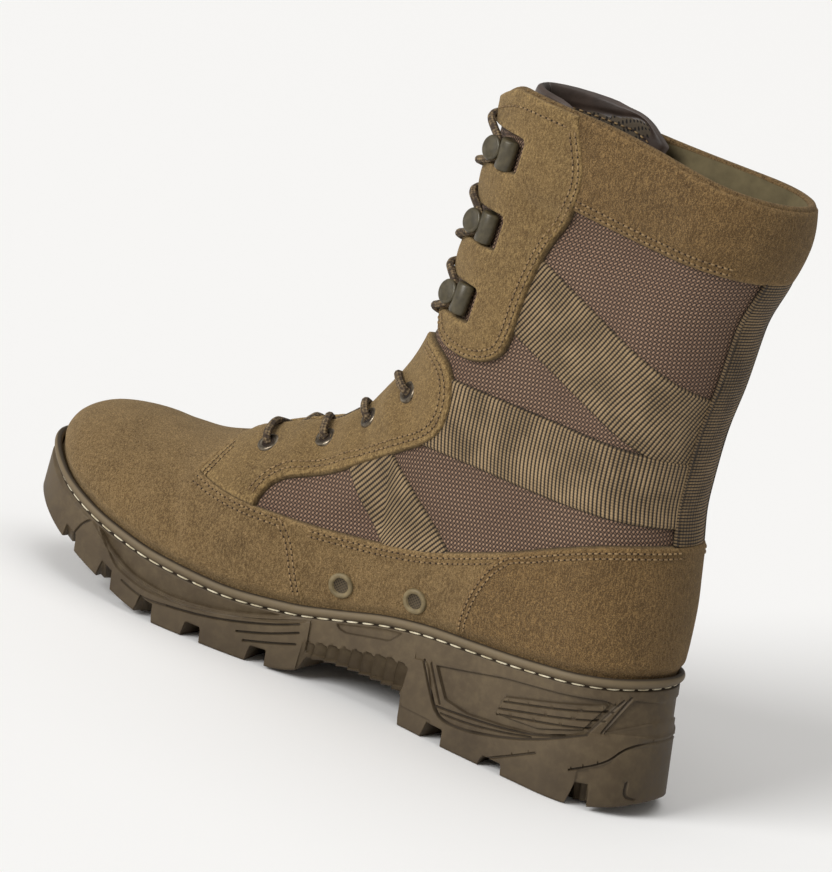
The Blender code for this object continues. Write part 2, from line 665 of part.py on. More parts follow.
def lug_cutter(origin):
    """All the notches between the lugs, on both sides."""
    shape = bmesh.new()
    for row in NOTCHES:
        for _, side in SIDES:
            edge, normal = outline_at(side, row.x, RIM)
            slant = math.radians(row.slant) * side
            cosine, sine = math.cos(slant), math.sin(slant)
            across = normal @ np.array([[cosine, sine], [-sine, cosine]])
            middle = edge + across * (NOTCH_OVER - NOTCH_REACH) / 2
            top = float(tread_z(row.x)) + row.depth
            turn = math.atan2(across[1], across[0])
            size = (NOTCH_REACH + NOTCH_OVER, row.width, top - NOTCH_LOW)
            add_box(shape, (*middle, (top + NOTCH_LOW) / 2), size, turn, origin)
    return mesh_object("lug_notches", finish_mesh(shape, "lug_notches"))


def arch_cutter(origin):
    """Grooves between the upright ribs of the arch."""
    shape = bmesh.new()
    for x in np.linspace(ARCH_FRONT, ARCH_BACK, ARCH_GROOVES):
        for _, side in SIDES:
            edge, normal = outline_at(side, x, SOLE_LOOPS[4].outset - GROOVE_DEPTH)
            low = float(tread_z(x)) + ARCH_MARGIN_LOW
            high = float(bead_z(x)) - BEAD_HEIGHT - ARCH_MARGIN_HIGH
            centre = edge + normal * ARCH_CUT / 2
            turn = math.atan2(normal[1], normal[0])
            size = (ARCH_CUT, ARCH_GROOVE_WIDTH, high - low)
            add_box(shape, (*centre, (low + high) / 2), size, turn, origin)
    return mesh_object("arch_grooves", finish_mesh(shape, "arch_grooves"))


def wall_cutters(origin):
    """Prisms for the slanted bars and the ribbed panel on each side of the heel."""
    low, high = HEEL_BAR_Z
    outlines = []
    for top, bottom in HEEL_BARS:
        behind_top, behind_bottom = top - HEEL_BAR_WIDTH, bottom - HEEL_BAR_WIDTH
        outlines.append(((bottom, low), (behind_bottom, low), (behind_top, high), (top, high)))
    front_low, front_high, back_high, back_low = (np.array(point) for point in HEEL_PANEL)
    front, back = front_high - front_low, back_high - back_low
    for rib in range(HEEL_RIBS):
        lower, upper = rib / HEEL_RIBS, (rib + HEEL_GROOVE_SHARE) / HEEL_RIBS
        outlines.append((front_low + front * lower, front_low + front * upper,
                         back_low + back * upper, back_low + back * lower))
    cutters = []
    for word, side in SIDES:
        for number, outline in enumerate(outlines):
            middle = float(np.mean([point[0] for point in outline]))
            wall = abs(outline_at(side, middle, SOLE_LOOPS[3].outset)[0][1]) - GROOVE_DEPTH
            y_range = sorted((side * wall, side * FAR))
            cutters.append(prism(f"heel_groove_{word}_{number}", outline, y_range, origin))
    return cutters


def make_outsole(origin):
    sole = loft("outsole", sole_loops(), origin, "rubber")
    for cutter in [lug_cutter(origin), arch_cutter(origin)] + wall_cutters(origin):
        cut(sole, cutter)
    return sole


def make_insole(origin):
    loop, station = outline_loop(-INSOLE_INSET, 0.0)
    floor = feather_z(station)
    loops = [np.column_stack([loop, floor]), np.column_stack([loop, floor + INSOLE_THICK])]
    return loft("insole", loops, origin, "sock")


# Throat: tongue and laces

def ridge_frame(u):
    """Ridge point and its outward direction in side view at the row index u."""
    step = 0.02
    x, z, _ = ridge_at(np.array([u, max(u - step, 0.0), min(u + step, TOP)]))
    run = np.array([x[2] - x[1], z[2] - z[1]])
    outward = np.array([run[1], -run[0]]) / np.linalg.norm(run)
    return np.array([x[0], z[0]]), outward


def over_throat(u, y, lift):
    """Point above the closed throat line at a distance y from the middle, lifted off the last."""
    side = 1 if y >= 0 else -1
    spot, outward = ridge_frame(u)
    depth = np.linspace(0.0, THROAT_REACH, 3 * FINE)
    line = spot[:, None] - outward[:, None] * depth
    width = np.maximum.accumulate(half_width(side, line[0], line[1]))
    here, inner = np.interp([abs(y), abs(y) + SLOPE_STEP], width, depth)
    tilt = math.atan((inner - here) / SLOPE_STEP)
    x, z = spot - outward * here
    move = np.array([outward[0] * math.cos(tilt), side * math.sin(tilt), outward[1] * math.cos(tilt)])
    return np.array([x, float(centre_y(x)) + y, z]) + move * lift


def row_of(spot):
    """Row index of the ridge point nearest to a side-view point."""
    u = np.linspace(0.0, TOP, 6 * FINE)
    x, z, _ = ridge_at(u)
    return float(u[np.hypot(x - spot.x, z - spot.z).argmin()])


def across_throat(u, side, reach, count, lift):
    """Points from the ridge to a reach along the form, square to the ridge or level."""
    spot, outward = ridge_frame(u)
    outward = np.maximum(outward, 0.0) / np.linalg.norm(np.maximum(outward, 0.0))
    depth = np.linspace(0.0, WING_REACH, 6 * FINE)
    line = spot[:, None] - outward[:, None] * depth
    width = half_width(side, line[0], line[1])
    length = np.concatenate(([0.0], np.cumsum(np.hypot(np.diff(depth), np.diff(width)))))
    in_slope, out_slope = np.gradient(depth) / np.gradient(length), np.gradient(width) / np.gradient(length)
    at = np.linspace(0.0, reach, count + 1)
    deep, wide, inward, across = (np.interp(at, length, run) for run in (depth, width, in_slope, out_slope))
    x, z = (spot[k] + outward[k] * (lift * across - deep) for k in range(2))
    return np.stack([x, centre_y(x) + side * (wide + lift * inward), z], axis=1)


TongueRow = namedtuple("TongueRow", "share medial lateral")
TONGUE = (
    TongueRow(0.0, 17.0, 17.0), TongueRow(0.3, 25.0, 25.0), TongueRow(0.6, 31.0, 31.0),
    TongueRow(0.85, 44.0, 50.0), TongueRow(1.0, 70.0, 90.0),
)
TONGUE_START = 4.75      # row index where the tongue begins, under the vamp
TONGUE_ROWS = 14
TONGUE_COLUMNS = 6       # on each side of the ridge
WING_REACH = 95.0        # depth of the last that the tongue's wings can follow


def tongue_row(share):
    """Outer face of the tongue on one line, from the lateral wing to the medial one."""
    u = TONGUE_START + (TOP - TONGUE_START) * share ** 1.25
    halves = []
    for word, side in SIDES:
        reach = float(column(TONGUE, word, share, "share"))
        halves.append(across_throat(u, side, reach, TONGUE_COLUMNS, -TONGUE_DEPTH))
    return np.concatenate([halves[1][:0:-1], halves[0]])


def make_tongue(origin):
    """Padded sheet under the throat, from the vamp to above the collar, with wings round the leg."""
    shape = bmesh.new()
    rows = [tongue_row(share) for share in np.linspace(0.0, 1.0, TONGUE_ROWS + 1)]
    edge = rows[-1]
    wing = np.linspace(-1.0, 1.0, len(edge)) ** 4
    lean = TONGUE_LEAN * np.maximum(edge[:, 0] - edge[TONGUE_COLUMNS, 0] + TONGUE_FRONT, 0.0)
    rows.append(edge + np.stack([lean, 0.0 * wing, TONGUE_RISE * (1.0 - TONGUE_FALL * wing)], axis=1))
    made = [[shape.verts.new(point) for point in to_metres(row, origin)] for row in rows]
    for row, following in zip(made[:-1], made[1:]):
        for k in range(len(edge) - 1):
            shape.faces.new((row[k], row[k + 1], following[k + 1], following[k]))
    tongue = mesh_object("tongue", finish_mesh(shape, "tongue"), "leather")
    add_modifier(tongue, "SOLIDIFY", thickness=TONGUE_THICK * MM, offset=-1.0)
    return tongue


def tube(name, points, origin, look):
    """Round cord through points, as a closed mesh."""
    curve = bpy.data.curves.new(name, "CURVE")
    curve.dimensions = "3D"
    curve.bevel_depth = LACE_RADIUS * MM
    curve.bevel_resolution = 1
    curve.use_fill_caps = True
    spline = curve.splines.new("POLY")
    spline.points.add(len(points) - 1)
    for target, point in zip(spline.points, to_metres(points, origin)):
        target.co = (*point, 1.0)
    guide = bpy.data.objects.new(name + "_guide", curve)
    bpy.data.collections[CUTTERS].objects.link(guide)
    bpy.context.view_layer.update()
    graph = bpy.context.evaluated_depsgraph_get()
    mesh = bpy.data.meshes.new_from_object(guide.evaluated_get(graph))
    bpy.data.objects.remove(guide, do_unlink=True)
    shape = bmesh.new()
    shape.from_mesh(mesh)
    bmesh.ops.remove_doubles(shape, verts=shape.verts, dist=WELD)
    return mesh_object(name, finish_mesh(shape, name), look)


def lace_rows():
    """Row index and half spacing of each eyelet and hook pair, from the toe upwards."""
    rows = []
    for spot in EYELETS + HOOKS:
        width = float(half_width(1, spot.x, spot.z)[0])
        rows.append((row_of(spot), width - LACE_INSET))
    return rows


def crossing_points(start, end, side, first=0.0):
    """A lace's way over the throat, from one pair's side to the next pair's other side."""
    points = []
    for share in np.linspace(first, 1.0, LACE_STEPS + 1):
        u = start[0] + (end[0] - start[0]) * share
        half = start[1] + (end[1] - start[1]) * share
        points.append(over_throat(u, side * half * math.cos(math.pi * share), LACE_LIFT))
    return points


def strand_points(rows, side, first=0.0):
    """One strand that changes sides from pair to pair, up to the top hooks."""
    points = crossing_points(rows[0], rows[1], side, first)
    for start, end in zip(rows[1:-1], rows[2:]):
        side = -side
        points += crossing_points(start, end, side)[1:]
    return points


def make_laces(origin):
    """Bottom bar and two strands that cross between the pairs, joined into one solid."""
    rows = lace_rows()
    half = rows[0][1]
    bar = [over_throat(rows[0][0], y, LACE_LIFT) for y in np.linspace(-half, half, LACE_STEPS + 1)[:-1]]
    laces = tube("laces", bar + strand_points(rows, 1), origin, "lace")
    other = tube("other_lace", strand_points(rows, -1, LACE_START), origin, None)
    cut(laces, other, "UNION")
    return laces


# Hardware

def stand_on(side, spot, lift):
    """World matrix with +Z along the surface normal at a side-view point."""
    point, normal = surface_frame(side, spot)
    turn = Vector(normal).to_track_quat("Z", "Y").to_matrix().to_4x4()
    return point + normal * lift, turn


def place(thing, point, turn, origin):
    thing.matrix_world = Matrix.Translation(to_metres([point], origin)[0]) @ turn
    return thing


def make_eyelet(name, side, spot, origin):
    bpy.ops.mesh.primitive_torus_add(major_segments=EYELET_SEGMENTS, minor_segments=4,
                                     major_radius=EYELET_MAJOR * MM, minor_radius=EYELET_MINOR * MM)
    ring = bpy.context.active_object
    mesh = ring.data
    bpy.data.objects.remove(ring, do_unlink=True)
    lift = 2 * GAP + OVERLAY + EYELET_MINOR
    return place(mesh_object(name, mesh, "metal"), *stand_on(side, spot, lift), origin)


def turned_mesh(name, profile, segments):
    """Closed turned solid about +Z from (radius, height) points, bottom to top."""
    shape = bmesh.new()
    rings = []
    turns = [Matrix.Rotation(2 * math.pi * k / segments, 3, "Z") for k in range(segments)]
    for radius, height in profile:
        start = Vector((radius, 0.0, height)) * MM
        rings.append([shape.verts.new(turn @ start) for turn in turns])
    for lower, upper in zip(rings[:-1], rings[1:]):
        for k in range(segments):
            n = (k + 1) % segments
            shape.faces.new((lower[k], lower[n], upper[n], upper[k]))
    shape.faces.new(rings[0][::-1])
    shape.faces.new(rings[-1])
    return finish_mesh(shape, name)


def make_hook(name, side, spot, origin):
    """Speed hook: stem and disc on a round foot."""
    profile = []
    height = 0.0
    for radius, rise in (HOOK_FOOT, HOOK_STEM, HOOK_DISC):
        profile += [(radius, height), (radius, height + rise)]
        height += rise
    hook = mesh_object(name, turned_mesh(name, profile, HOOK_SEGMENTS), "metal")
    return place(hook, *stand_on(side, spot, 2 * GAP + OVERLAY - HOOK_SEAT), origin)


def make_vent(name, spot, origin):
    """Drain vent: a low ring with a sunk middle."""
    radius, height = VENT_RADIUS, VENT_HEIGHT
    profile = [(radius * across, height * up) for across, up in VENT_PROFILE]
    vent = mesh_object(name, turned_mesh(name, profile, VENT_SEGMENTS), "metal")
    return place(vent, *stand_on(1, spot, 2 * GAP + OVERLAY + VENT_SEAT), origin)


def make_hardware(origin):
    for word, side in SIDES:
        for number, spot in enumerate(EYELETS, 1):
            make_eyelet(f"eyelet_{word}_{number}", side, spot, origin)
        for number, spot in enumerate(HOOKS, 1):
            make_hook(f"hook_{word}_{number}", side, spot, origin)
    for number, spot in enumerate(VENTS, 1):
        make_vent(f"vent_{number}", spot, origin)


def boot_origin():
    """Middle of the sole's outline in plan, on the ground."""
    points = np.concatenate(sole_loops())
    middle = (points.min(axis=0) + points.max(axis=0)) / 2
    return np.array([middle[0], middle[1], 0.0])


def main():
    clear_scene()
    make_collection(BODY)
    make_collection(CUTTERS)
    origin = boot_origin()
    grids = last_grids()
    make_outsole(origin)
    make_insole(origin)
    make_upper(grids, origin)
    make_tongue(origin)
    make_overlays(grids, origin)
    make_hardware(origin)
    make_laces(origin)


main()
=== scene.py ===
"""Looks of a right tactical boot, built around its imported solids.

Sizes are in millimetres in the boot's own frame: x from the heel to the toe, y to the medial
side, z up from the ground. They become metres, counted from the middle of the sole, when a
mesh is made. The upper is one fine sheet over the last, and each panel of suede or webbing is
a patch of that sheet, lifted off it and rounded at its edge.
"""
from __future__ import annotations

import logging
import math
from dataclasses import dataclass, field, replace
from enum import Enum
from typing import Callable, Iterable, NamedTuple, Sequence, TypeVar

import bpy
import numpy as np
from mathutils import Matrix, Vector

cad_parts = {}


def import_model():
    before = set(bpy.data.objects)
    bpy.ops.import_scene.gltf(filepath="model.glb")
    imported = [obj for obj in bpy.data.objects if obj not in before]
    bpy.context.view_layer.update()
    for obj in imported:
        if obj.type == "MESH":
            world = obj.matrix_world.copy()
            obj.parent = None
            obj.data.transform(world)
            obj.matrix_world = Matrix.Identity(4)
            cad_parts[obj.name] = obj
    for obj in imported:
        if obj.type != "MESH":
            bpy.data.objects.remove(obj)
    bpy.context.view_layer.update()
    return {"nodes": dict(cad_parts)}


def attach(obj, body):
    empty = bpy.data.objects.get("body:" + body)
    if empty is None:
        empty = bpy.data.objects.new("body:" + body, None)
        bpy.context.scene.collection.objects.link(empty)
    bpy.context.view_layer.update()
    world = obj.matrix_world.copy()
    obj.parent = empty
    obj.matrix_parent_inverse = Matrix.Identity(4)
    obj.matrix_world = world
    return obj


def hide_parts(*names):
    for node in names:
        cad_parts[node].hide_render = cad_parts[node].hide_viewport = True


LOG = logging.getLogger("tactical_boot")
MM = 0.001
ORIGIN = np.array([152.95, -3.38122567, 0.0])
BODY = "root"
Array = np.ndarray
Material = bpy.types.Material
Piece = bpy.types.Object
Socket = bpy.types.NodeSocket
Points = Sequence[tuple[float, float]]
Shape = Callable[[Array, Array], Array]
Wardrobe = dict[str, Material]
Row = TypeVar("Row")


class Side(Enum):
    """The two sides of the boot, with the sign of y on each."""

    MEDIAL = 1
    LATERAL = -1


# Curves

def smooth(xs: Sequence[float], ys: Sequence[float], at: Array | float) -> Array:
    """Read the monotone cubic through (xs, ys).

    Args:
        xs: Rising places.
        ys: Values at those places.
        at: Places to read.

    Returns:
        The values at those places, held constant beyond both ends.
    """
    xs = np.asarray(xs, float)
    ys = np.asarray(ys, float)
    step = np.diff(xs)
    slope = np.diff(ys) / step
    tangent = np.concatenate(([slope[0]], np.zeros(len(xs) - 2), [slope[-1]]))
    before, after = slope[:-1], slope[1:]
    rising = before * after > 0
    tangent[1:-1] = np.where(rising, 2 * before * after / np.where(rising, before + after, 1.0), 0.0)
    at = np.clip(np.asarray(at, float), xs[0], xs[-1])
    i = np.clip(np.searchsorted(xs, at, side="right") - 1, 0, len(step) - 1)
    s = (at - xs[i]) / step[i]
    return (ys[i] * (1 + 2 * s) * (1 - s) ** 2 + tangent[i] * step[i] * s * (1 - s) ** 2
            + ys[i + 1] * s * s * (3 - 2 * s) + tangent[i + 1] * step[i] * s * s * (s - 1))


def ease(share: Array | float) -> Array:
    """Smooth step from 0 to 1."""
    share = np.clip(share, 0.0, 1.0)
    return share * share * (3 - 2 * share)


def ellipse(share: Array, power: float = 2.0) -> Array:
    """Quarter ellipse: 0 at an edge, 1 once the rounding depth is used up."""
    share = np.clip(share, 0.0, 1.0)
    return (1.0 - (1.0 - share) ** power) ** (1.0 / power)


def soften(points: Points, rounds: int = 3) -> Array:
    """Round the corners of an open line by cutting them.

    Args:
        points: Corners of the line.
        rounds: How often the corners are cut.

    Returns:
        The softened line, with the same ends.
    """
    line = np.asarray(points, float)
    for _ in range(rounds):
        near = 0.75 * line[:-1] + 0.25 * line[1:]
        far = 0.25 * line[:-1] + 0.75 * line[1:]
        inner = np.stack([near, far], axis=1).reshape(-1, line.shape[1])
        line = np.vstack([line[:1], inner[1:-1], line[-1:]])
    return line


def unit(ways: Array) -> Array:
    """Directions brought to unit length."""
    return ways / np.maximum(np.linalg.norm(ways, axis=-1, keepdims=True), 1e-12)


def left_of(run: Array) -> Array:
    """Unit directions to the left of flat ones."""
    return unit(np.stack([-run[..., 1], run[..., 0]], axis=-1))


def arc(angles: Array, first: Array, second: Array) -> Array:
    """Points of a unit circle at angles, in the plane of two directions."""
    return np.cos(angles)[:, None] * first + np.sin(angles)[:, None] * second


def lengths(line: Array) -> Array:
    """Length along a line up to each of its points."""
    return np.concatenate(([0.0], np.cumsum(np.linalg.norm(np.diff(line, axis=0), axis=1))))


def even(line: Array, count: int) -> Array:
    """Divide a line into equal steps along its own length.

    Args:
        line: Points of the line.
        count: Number of steps.

    Returns:
        The points, one more than the steps.
    """
    length = lengths(line)
    at = np.linspace(0.0, length[-1], count + 1)
    return np.stack([np.interp(at, length, line[:, k]) for k in range(line.shape[1])], axis=1)


def line_length(line: Array) -> float:
    """Length of a line of points."""
    return float(np.linalg.norm(np.diff(line, axis=0), axis=1).sum())


def segment_gap(spots: Array, line: Array, index: Array) -> Array:
    """Distance of each side-view point to one stretch of a line.

    Args:
        spots: Side-view points, one a row.
        line: Points of the line.
        index: First point of the stretch, for each.

    Returns:
        The distances.
    """
    start, run = line[index], line[index + 1] - line[index]
    share = ((spots - start) * run).sum(axis=1) / np.maximum((run * run).sum(axis=1), 1e-12)
    return np.linalg.norm(spots - start - np.clip(share, 0.0, 1.0)[:, None] * run, axis=1)


def line_distance(spots: Array, line: Array, chunk: int = 20000) -> Array:
    """Distance of each side-view point to an open line.

    Args:
        spots: Side-view points, one a row.
        line: Points of the line.
        chunk: How many points are compared at once.

    Returns:
        The distances.
    """
    dense = even(line, max(int(line_length(line)), 2))
    size = (dense ** 2).sum(axis=1)
    best = np.empty(len(spots))
    for first in range(0, len(spots), chunk):
        spot = spots[first:first + chunk]
        nearest = (size - 2 * spot @ dense.T).argmin(axis=1)
        before, after = (np.clip(nearest + shift, 0, len(dense) - 2) for shift in (-1, 0))
        gaps = [segment_gap(spot, dense, index) for index in (before, after)]
        best[first:first + chunk] = np.minimum(*gaps)
    return best


def line_side(spots: Array, line: Array, reach: float = 1.6) -> Array:
    """Distance to an open line, counted negative on its right within a short reach.

    Args:
        spots: Side-view points, one a row.
        line: Points of the line.
        reach: How far the sign counts.

    Returns:
        The distances.
    """
    gap = line_distance(spots, line)
    near = np.flatnonzero(gap < reach)
    dense = even(line, max(int(line_length(line)), 2))
    nearest = ((dense ** 2).sum(axis=1) - 2 * spots[near] @ dense.T).argmin(axis=1)
    run, away = np.gradient(dense, axis=0)[nearest], spots[near] - dense[nearest]
    gap[near] *= np.sign(run[:, 0] * away[:, 1] - run[:, 1] * away[:, 0])
    return gap


def inside_outline(spots: Array, outline: Array) -> Array:
    """Tell which side-view points lie inside a closed outline.

    Args:
        spots: Side-view points, one a row.
        outline: Corners of the outline.

    Returns:
        Whether each lies inside.
    """
    found = np.zeros(len(spots), bool)
    following = np.roll(outline, -1, axis=0)
    for (ax, az), (bx, bz) in zip(outline, following):
        if az == bz:
            continue
        spans = (az > spots[:, 1]) != (bz > spots[:, 1])
        found ^= spans & (spots[:, 0] < (bx - ax) * (spots[:, 1] - az) / (bz - az) + ax)
    return found


def outline_field(spots: Array, outline: Array) -> Array:
    """Signed distance to a closed outline, negative inside it.

    Args:
        spots: Side-view points, one a row.
        outline: Corners of the outline.

    Returns:
        The distances.
    """
    closed = np.vstack([outline, outline[:1]])
    gap = line_distance(spots, closed)
    return np.where(inside_outline(spots, outline), -gap, gap)


def table(kind: Callable[..., Row], *rows: tuple) -> tuple[Row, ...]:
    """Named rows from rows of plain values."""
    return tuple(kind(*row) for row in rows)


# The last

class PlanRow(NamedTuple):
    """Half widths of the last at one place along it."""

    x: float
    medial: float
    lateral: float
    centre: float


class ShaftWidth(NamedTuple):
    """Half widths of the shaft at one height."""

    z: float
    medial: float
    lateral: float


class HeightRow(NamedTuple):
    """A height at one place along the boot."""

    x: float
    z: float


class FootRow(NamedTuple):
    """A ridge point of the foot, the feather point it pairs with, and half the throat's opening."""

    ridge_x: float
    ridge_z: float
    base_x: float
    opening: float


class ShaftRow(NamedTuple):
    """A front point of the shaft, the back point it pairs with, and half the throat's opening."""

    ridge_x: float
    ridge_z: float
    base_x: float
    base_z: float
    opening: float


class Crease(NamedTuple):
    """A soft fold of the upper, as a line in side view."""

    start: tuple[float, float]
    end: tuple[float, float]
    width: float
    depth: float


LAST_PLAN = table(
    PlanRow,
    (6.5, 31, 31, 0), (40, 32, 33, 0), (80, 31.5, 36.5, 0),
    (110, 29.5, 39.5, 0), (140, 30.5, 44.5, 0), (170, 36.5, 50, 0),
    (200, 43, 52.5, 0), (225, 45, 50.5, 0.5), (250, 42.5, 46, 2.5),
    (280, 38, 39, 4), (307.5, 29, 29, 6.5),
)
SHAFT_PLAN = table(
    ShaftWidth,
    (100, 36.5, 36.5), (160, 36, 35.5), (215, 33.5, 31.5),
    (264, 32, 28.5),
)
BEAD = table(
    HeightRow,
    (6.5, 59), (23, 55.2), (58, 50), (98, 46),
    (120, 42.3), (145, 35.5), (165, 31), (195, 28.2),
    (227, 29.8), (251, 33.5), (278, 40.8), (307.5, 53),
)
TREAD = table(
    HeightRow,
    (6.5, 7), (12, 3.5), (20, 0.8), (28, 0),
    (103, 0), (105.5, 12.5), (125, 12.5), (152.5, 10.4),
    (155, 4.2), (168, 0.8), (182, 0), (220, 0),
    (236, 3), (252, 8), (280, 18), (307.5, 29),
)
RIDGE_ROUND = table(
    HeightRow,
    (150, 39), (175, 45), (205, 46), (229, 44),
    (250, 40), (272, 34), (291, 22), (307.5, 9),
)
FOOT = table(
    FootRow,
    (307.5, 54, 307.5, 0), (302.5, 62, 304, 0), (291, 69.5, 294, 0),
    (272, 73, 276, 0), (250, 74, 254, 0), (229, 79, 231, 0),
    (209, 92, 207, 9), (190, 101.5, 183, 11), (175, 111, 160, 12.5),
    (163, 126.5, 135, 13.5), (152, 150, 105, 14.5), (148, 172, 66, 15),
    (147, 186, 30, 15), (147, 196, 6.5, 15.5),
)
SHAFT = table(
    ShaftRow,
    (147, 204, 9, 84, 15.5), (147, 212, 14, 110, 16),
    (147, 221, 18.5, 132, 16), (147.5, 231, 19.5, 158, 16),
    (148, 240, 17.5, 182, 16), (148.5, 247, 16.5, 206, 16),
    (149, 254, 11.5, 227, 16.5), (149.5, 260, 9.5, 247, 17),
    (150, 264, 10.5, 259.5, 17),
)
CORNER = float(len(FOOT) - 1)
TOP = float(len(FOOT) + len(SHAFT) - 1)
BOTH = (Side.MEDIAL, Side.LATERAL)
CREASES = table(
    Crease,
    ((238, 66), (222, 44), 5, 0.8),
    ((226, 60), (214, 40), 4, -0.5),
    ((262, 68), (250, 52), 6, 0.5),
    ((112, 228), (44, 216), 5, 1.5),
    ((96, 212), (52, 194), 8, -1.2),
    ((120, 160), (70, 152), 7, 0.9),
    ((110, 98), (84, 108), 8, -0.7),
    ((150, 84), (128, 92), 7, -0.6),
    ((60, 66), (30, 72), 10, 0.6),
    ((203, 86), (201, 80), 6, 1.3),
    ((178, 98), (174, 92), 6, 1.3),
    ((160, 114), (155, 108), 6, 1.3),
    ((143, 132.5), (137, 128), 6, 1.3),
    ((190, 93), (184, 82), 4, -1),
    ((169, 106), (161, 97), 4, -1),
    ((151, 124), (142, 116), 4, -1),
    ((138, 195), (128, 195), 7, -1.2),
    ((138, 227), (128, 227), 7, -1.2),
)


def read(rows: Sequence[NamedTuple], name: str, at: Array | float, key: str = "x") -> Array:
    """Read one named column of a table of rows at places of its key column."""
    return smooth([getattr(row, key) for row in rows], [getattr(row, name) for row in rows], at)


def bead_z(x: Array | float) -> Array:
    """Height of the top of the sole's bead."""
    return read(BEAD, "z", x)


def tread_z(x: Array | float) -> Array:
    """Height of the sole's underside above the ground."""
    return read(TREAD, "z", x)


@dataclass
class LastForm:
    """Form of the last: the surface that the upper, the panels and the sole follow."""

    heel: float = 6.5
    toe: float = 307.5
    toe_round: float = 56.0
    toe_power: float = 2.5
    back_round: float = 33.0
    cuff_swell: float = 2.5
    cuff_low: float = 218.0
    cuff_full: float = 238.0
    straight_rise: float = 7.0
    shaft_rise: float = 105.0
    side_swell: float = 2.2
    swell_height: float = 38.0
    instep_x: float = 170.0
    instep_fade: float = 70.0
    cup_depth: float = 6.0
    samples: int = 240
    ridge_flat: float = 2.0
    medial_arch: float = 6.0
    lateral_arch: float = -2.0
    front_drop: float = 3.5
    arch_rows: float = 3.0
    arch_full: float = 0.6
    front_share: float = 0.86
    ridge_weight: float = 0.8
    throat_depth: float = 38.0
    side_depth: float = 95.0
    ridge_line: Array = field(init=False)
    back_line: Array = field(init=False)

    def __post_init__(self) -> None:
        """Sample the ridge and the back as lines of the side view."""
        x, z, _ = self.ridge_at(np.linspace(0.0, TOP, 480))
        self.ridge_line = np.stack([x, z], axis=1)
        self.back_line = np.stack(self.base_at(np.linspace(CORNER, TOP, 160)), axis=1)

    def feather_z(self, x: Array | float) -> Array:
        """Height of the upper's bottom edge, inside the rim of the sole."""
        return bead_z(x) - self.cup_depth

    def centre_y(self, x: Array | float) -> Array:
        """Middle of the last in plan."""
        return read(LAST_PLAN, "centre", x)

    def ridge_at(self, u: Array | float) -> list[Array]:
        """Ridge point and half opening of the throat at the row index u.

        Args:
            u: Row indices.

        Returns:
            Places along the boot, heights and half openings.
        """
        rows = FOOT + SHAFT
        index = np.arange(len(rows))
        return [smooth(index, [getattr(row, name) for row in rows], u)
                for name in ("ridge_x", "ridge_z", "opening")]

    def base_at(self, u: Array | float) -> tuple[Array, Array]:
        """Point of the feather line, or of the back above the heel, at the row index u.

        Args:
            u: Row indices.

        Returns:
            Places along the boot and heights.
        """
        u = np.asarray(u, float)
        rows = FOOT + SHAFT
        x = smooth(np.arange(len(rows)), [row.base_x for row in rows], u)
        heights = [float(self.feather_z(self.heel))] + [row.base_z for row in SHAFT]
        back = smooth(CORNER + np.arange(len(heights)), heights, u)
        return x, np.where(u <= CORNER, self.feather_z(x), back)

    def half_width(self, side: Side, x: Array | float, z: Array | float) -> Array:
        """Half width of the last at side-view points.

        Args:
            side: Side of the boot.
            x: Places along the boot.
            z: Heights.

        Returns:
            Distances from the last's middle to its surface.
        """
        x, z = np.broadcast_arrays(np.atleast_1d(np.asarray(x, float)), np.atleast_1d(np.asarray(z, float)))
        word = side.name.lower()
        toe = ellipse((self.toe - x) / self.toe_round, self.toe_power)
        plan = read(LAST_PLAN, word, x) * toe
        rise = z - self.feather_z(x) - self.straight_rise
        swell_share = (z - self.cuff_low) / (self.cuff_full - self.cuff_low)
        shaft = read(SHAFT_PLAN, word, z, "z") + self.cuff_swell * ease(swell_share)
        lean = ease(rise / self.shaft_rise) * (1 - ease((x - self.instep_x) / self.instep_fade))
        swell = self.side_swell * np.sin(math.pi * np.clip(rise / self.swell_height, 0.0, 1.0)) * toe
        spots = np.stack([x.ravel(), z.ravel()], axis=1)
        over = line_distance(spots, self.ridge_line).reshape(x.shape)
        behind = line_distance(spots, self.back_line).reshape(x.shape)
        core = plan + (shaft - plan) * lean + swell
        return core * ellipse(over / read(RIDGE_ROUND, "z", x)) * ellipse(behind / self.back_round)

    def surface(self, side: Side, x: Array | float, z: Array | float) -> Array:
        """Points of the last's surface at side-view points."""
        x, z = np.broadcast_arrays(np.atleast_1d(np.asarray(x, float)), np.atleast_1d(np.asarray(z, float)))
        return np.stack([x, self.centre_y(x) + side.value * self.half_width(side, x, z), z], axis=-1)

    def frames(self, side: Side, spots: Array) -> tuple[Array, Array]:
        """Creased surface points and outward normals at side-view points.

        Args:
            side: Side of the boot.
            spots: Side-view points, one a row.

        Returns:
            The points and the unit normals.
        """
        reach = 0.6
        x, z = spots[:, 0], spots[:, 1]
        ahead = self.surface(side, x + reach, z) - self.surface(side, x - reach, z)
        above = self.surface(side, x, z + reach) - self.surface(side, x, z - reach)
        normal = unit(np.cross(above, ahead) * side.value)
        return self.surface(side, x, z) - normal * self.crease(spots)[:, None], normal

    @staticmethod
    def crease(spots: Array) -> Array:
        """Depth of the soft folds at side-view points.

        Args:
            spots: Side-view points, one a row.

        Returns:
            The depths.
        """
        depth = np.zeros(len(spots))
        for row in CREASES:
            gap = line_distance(spots, np.array([row.start, row.end]))
            depth += row.depth * np.exp(-(gap / row.width) ** 2)
        return depth

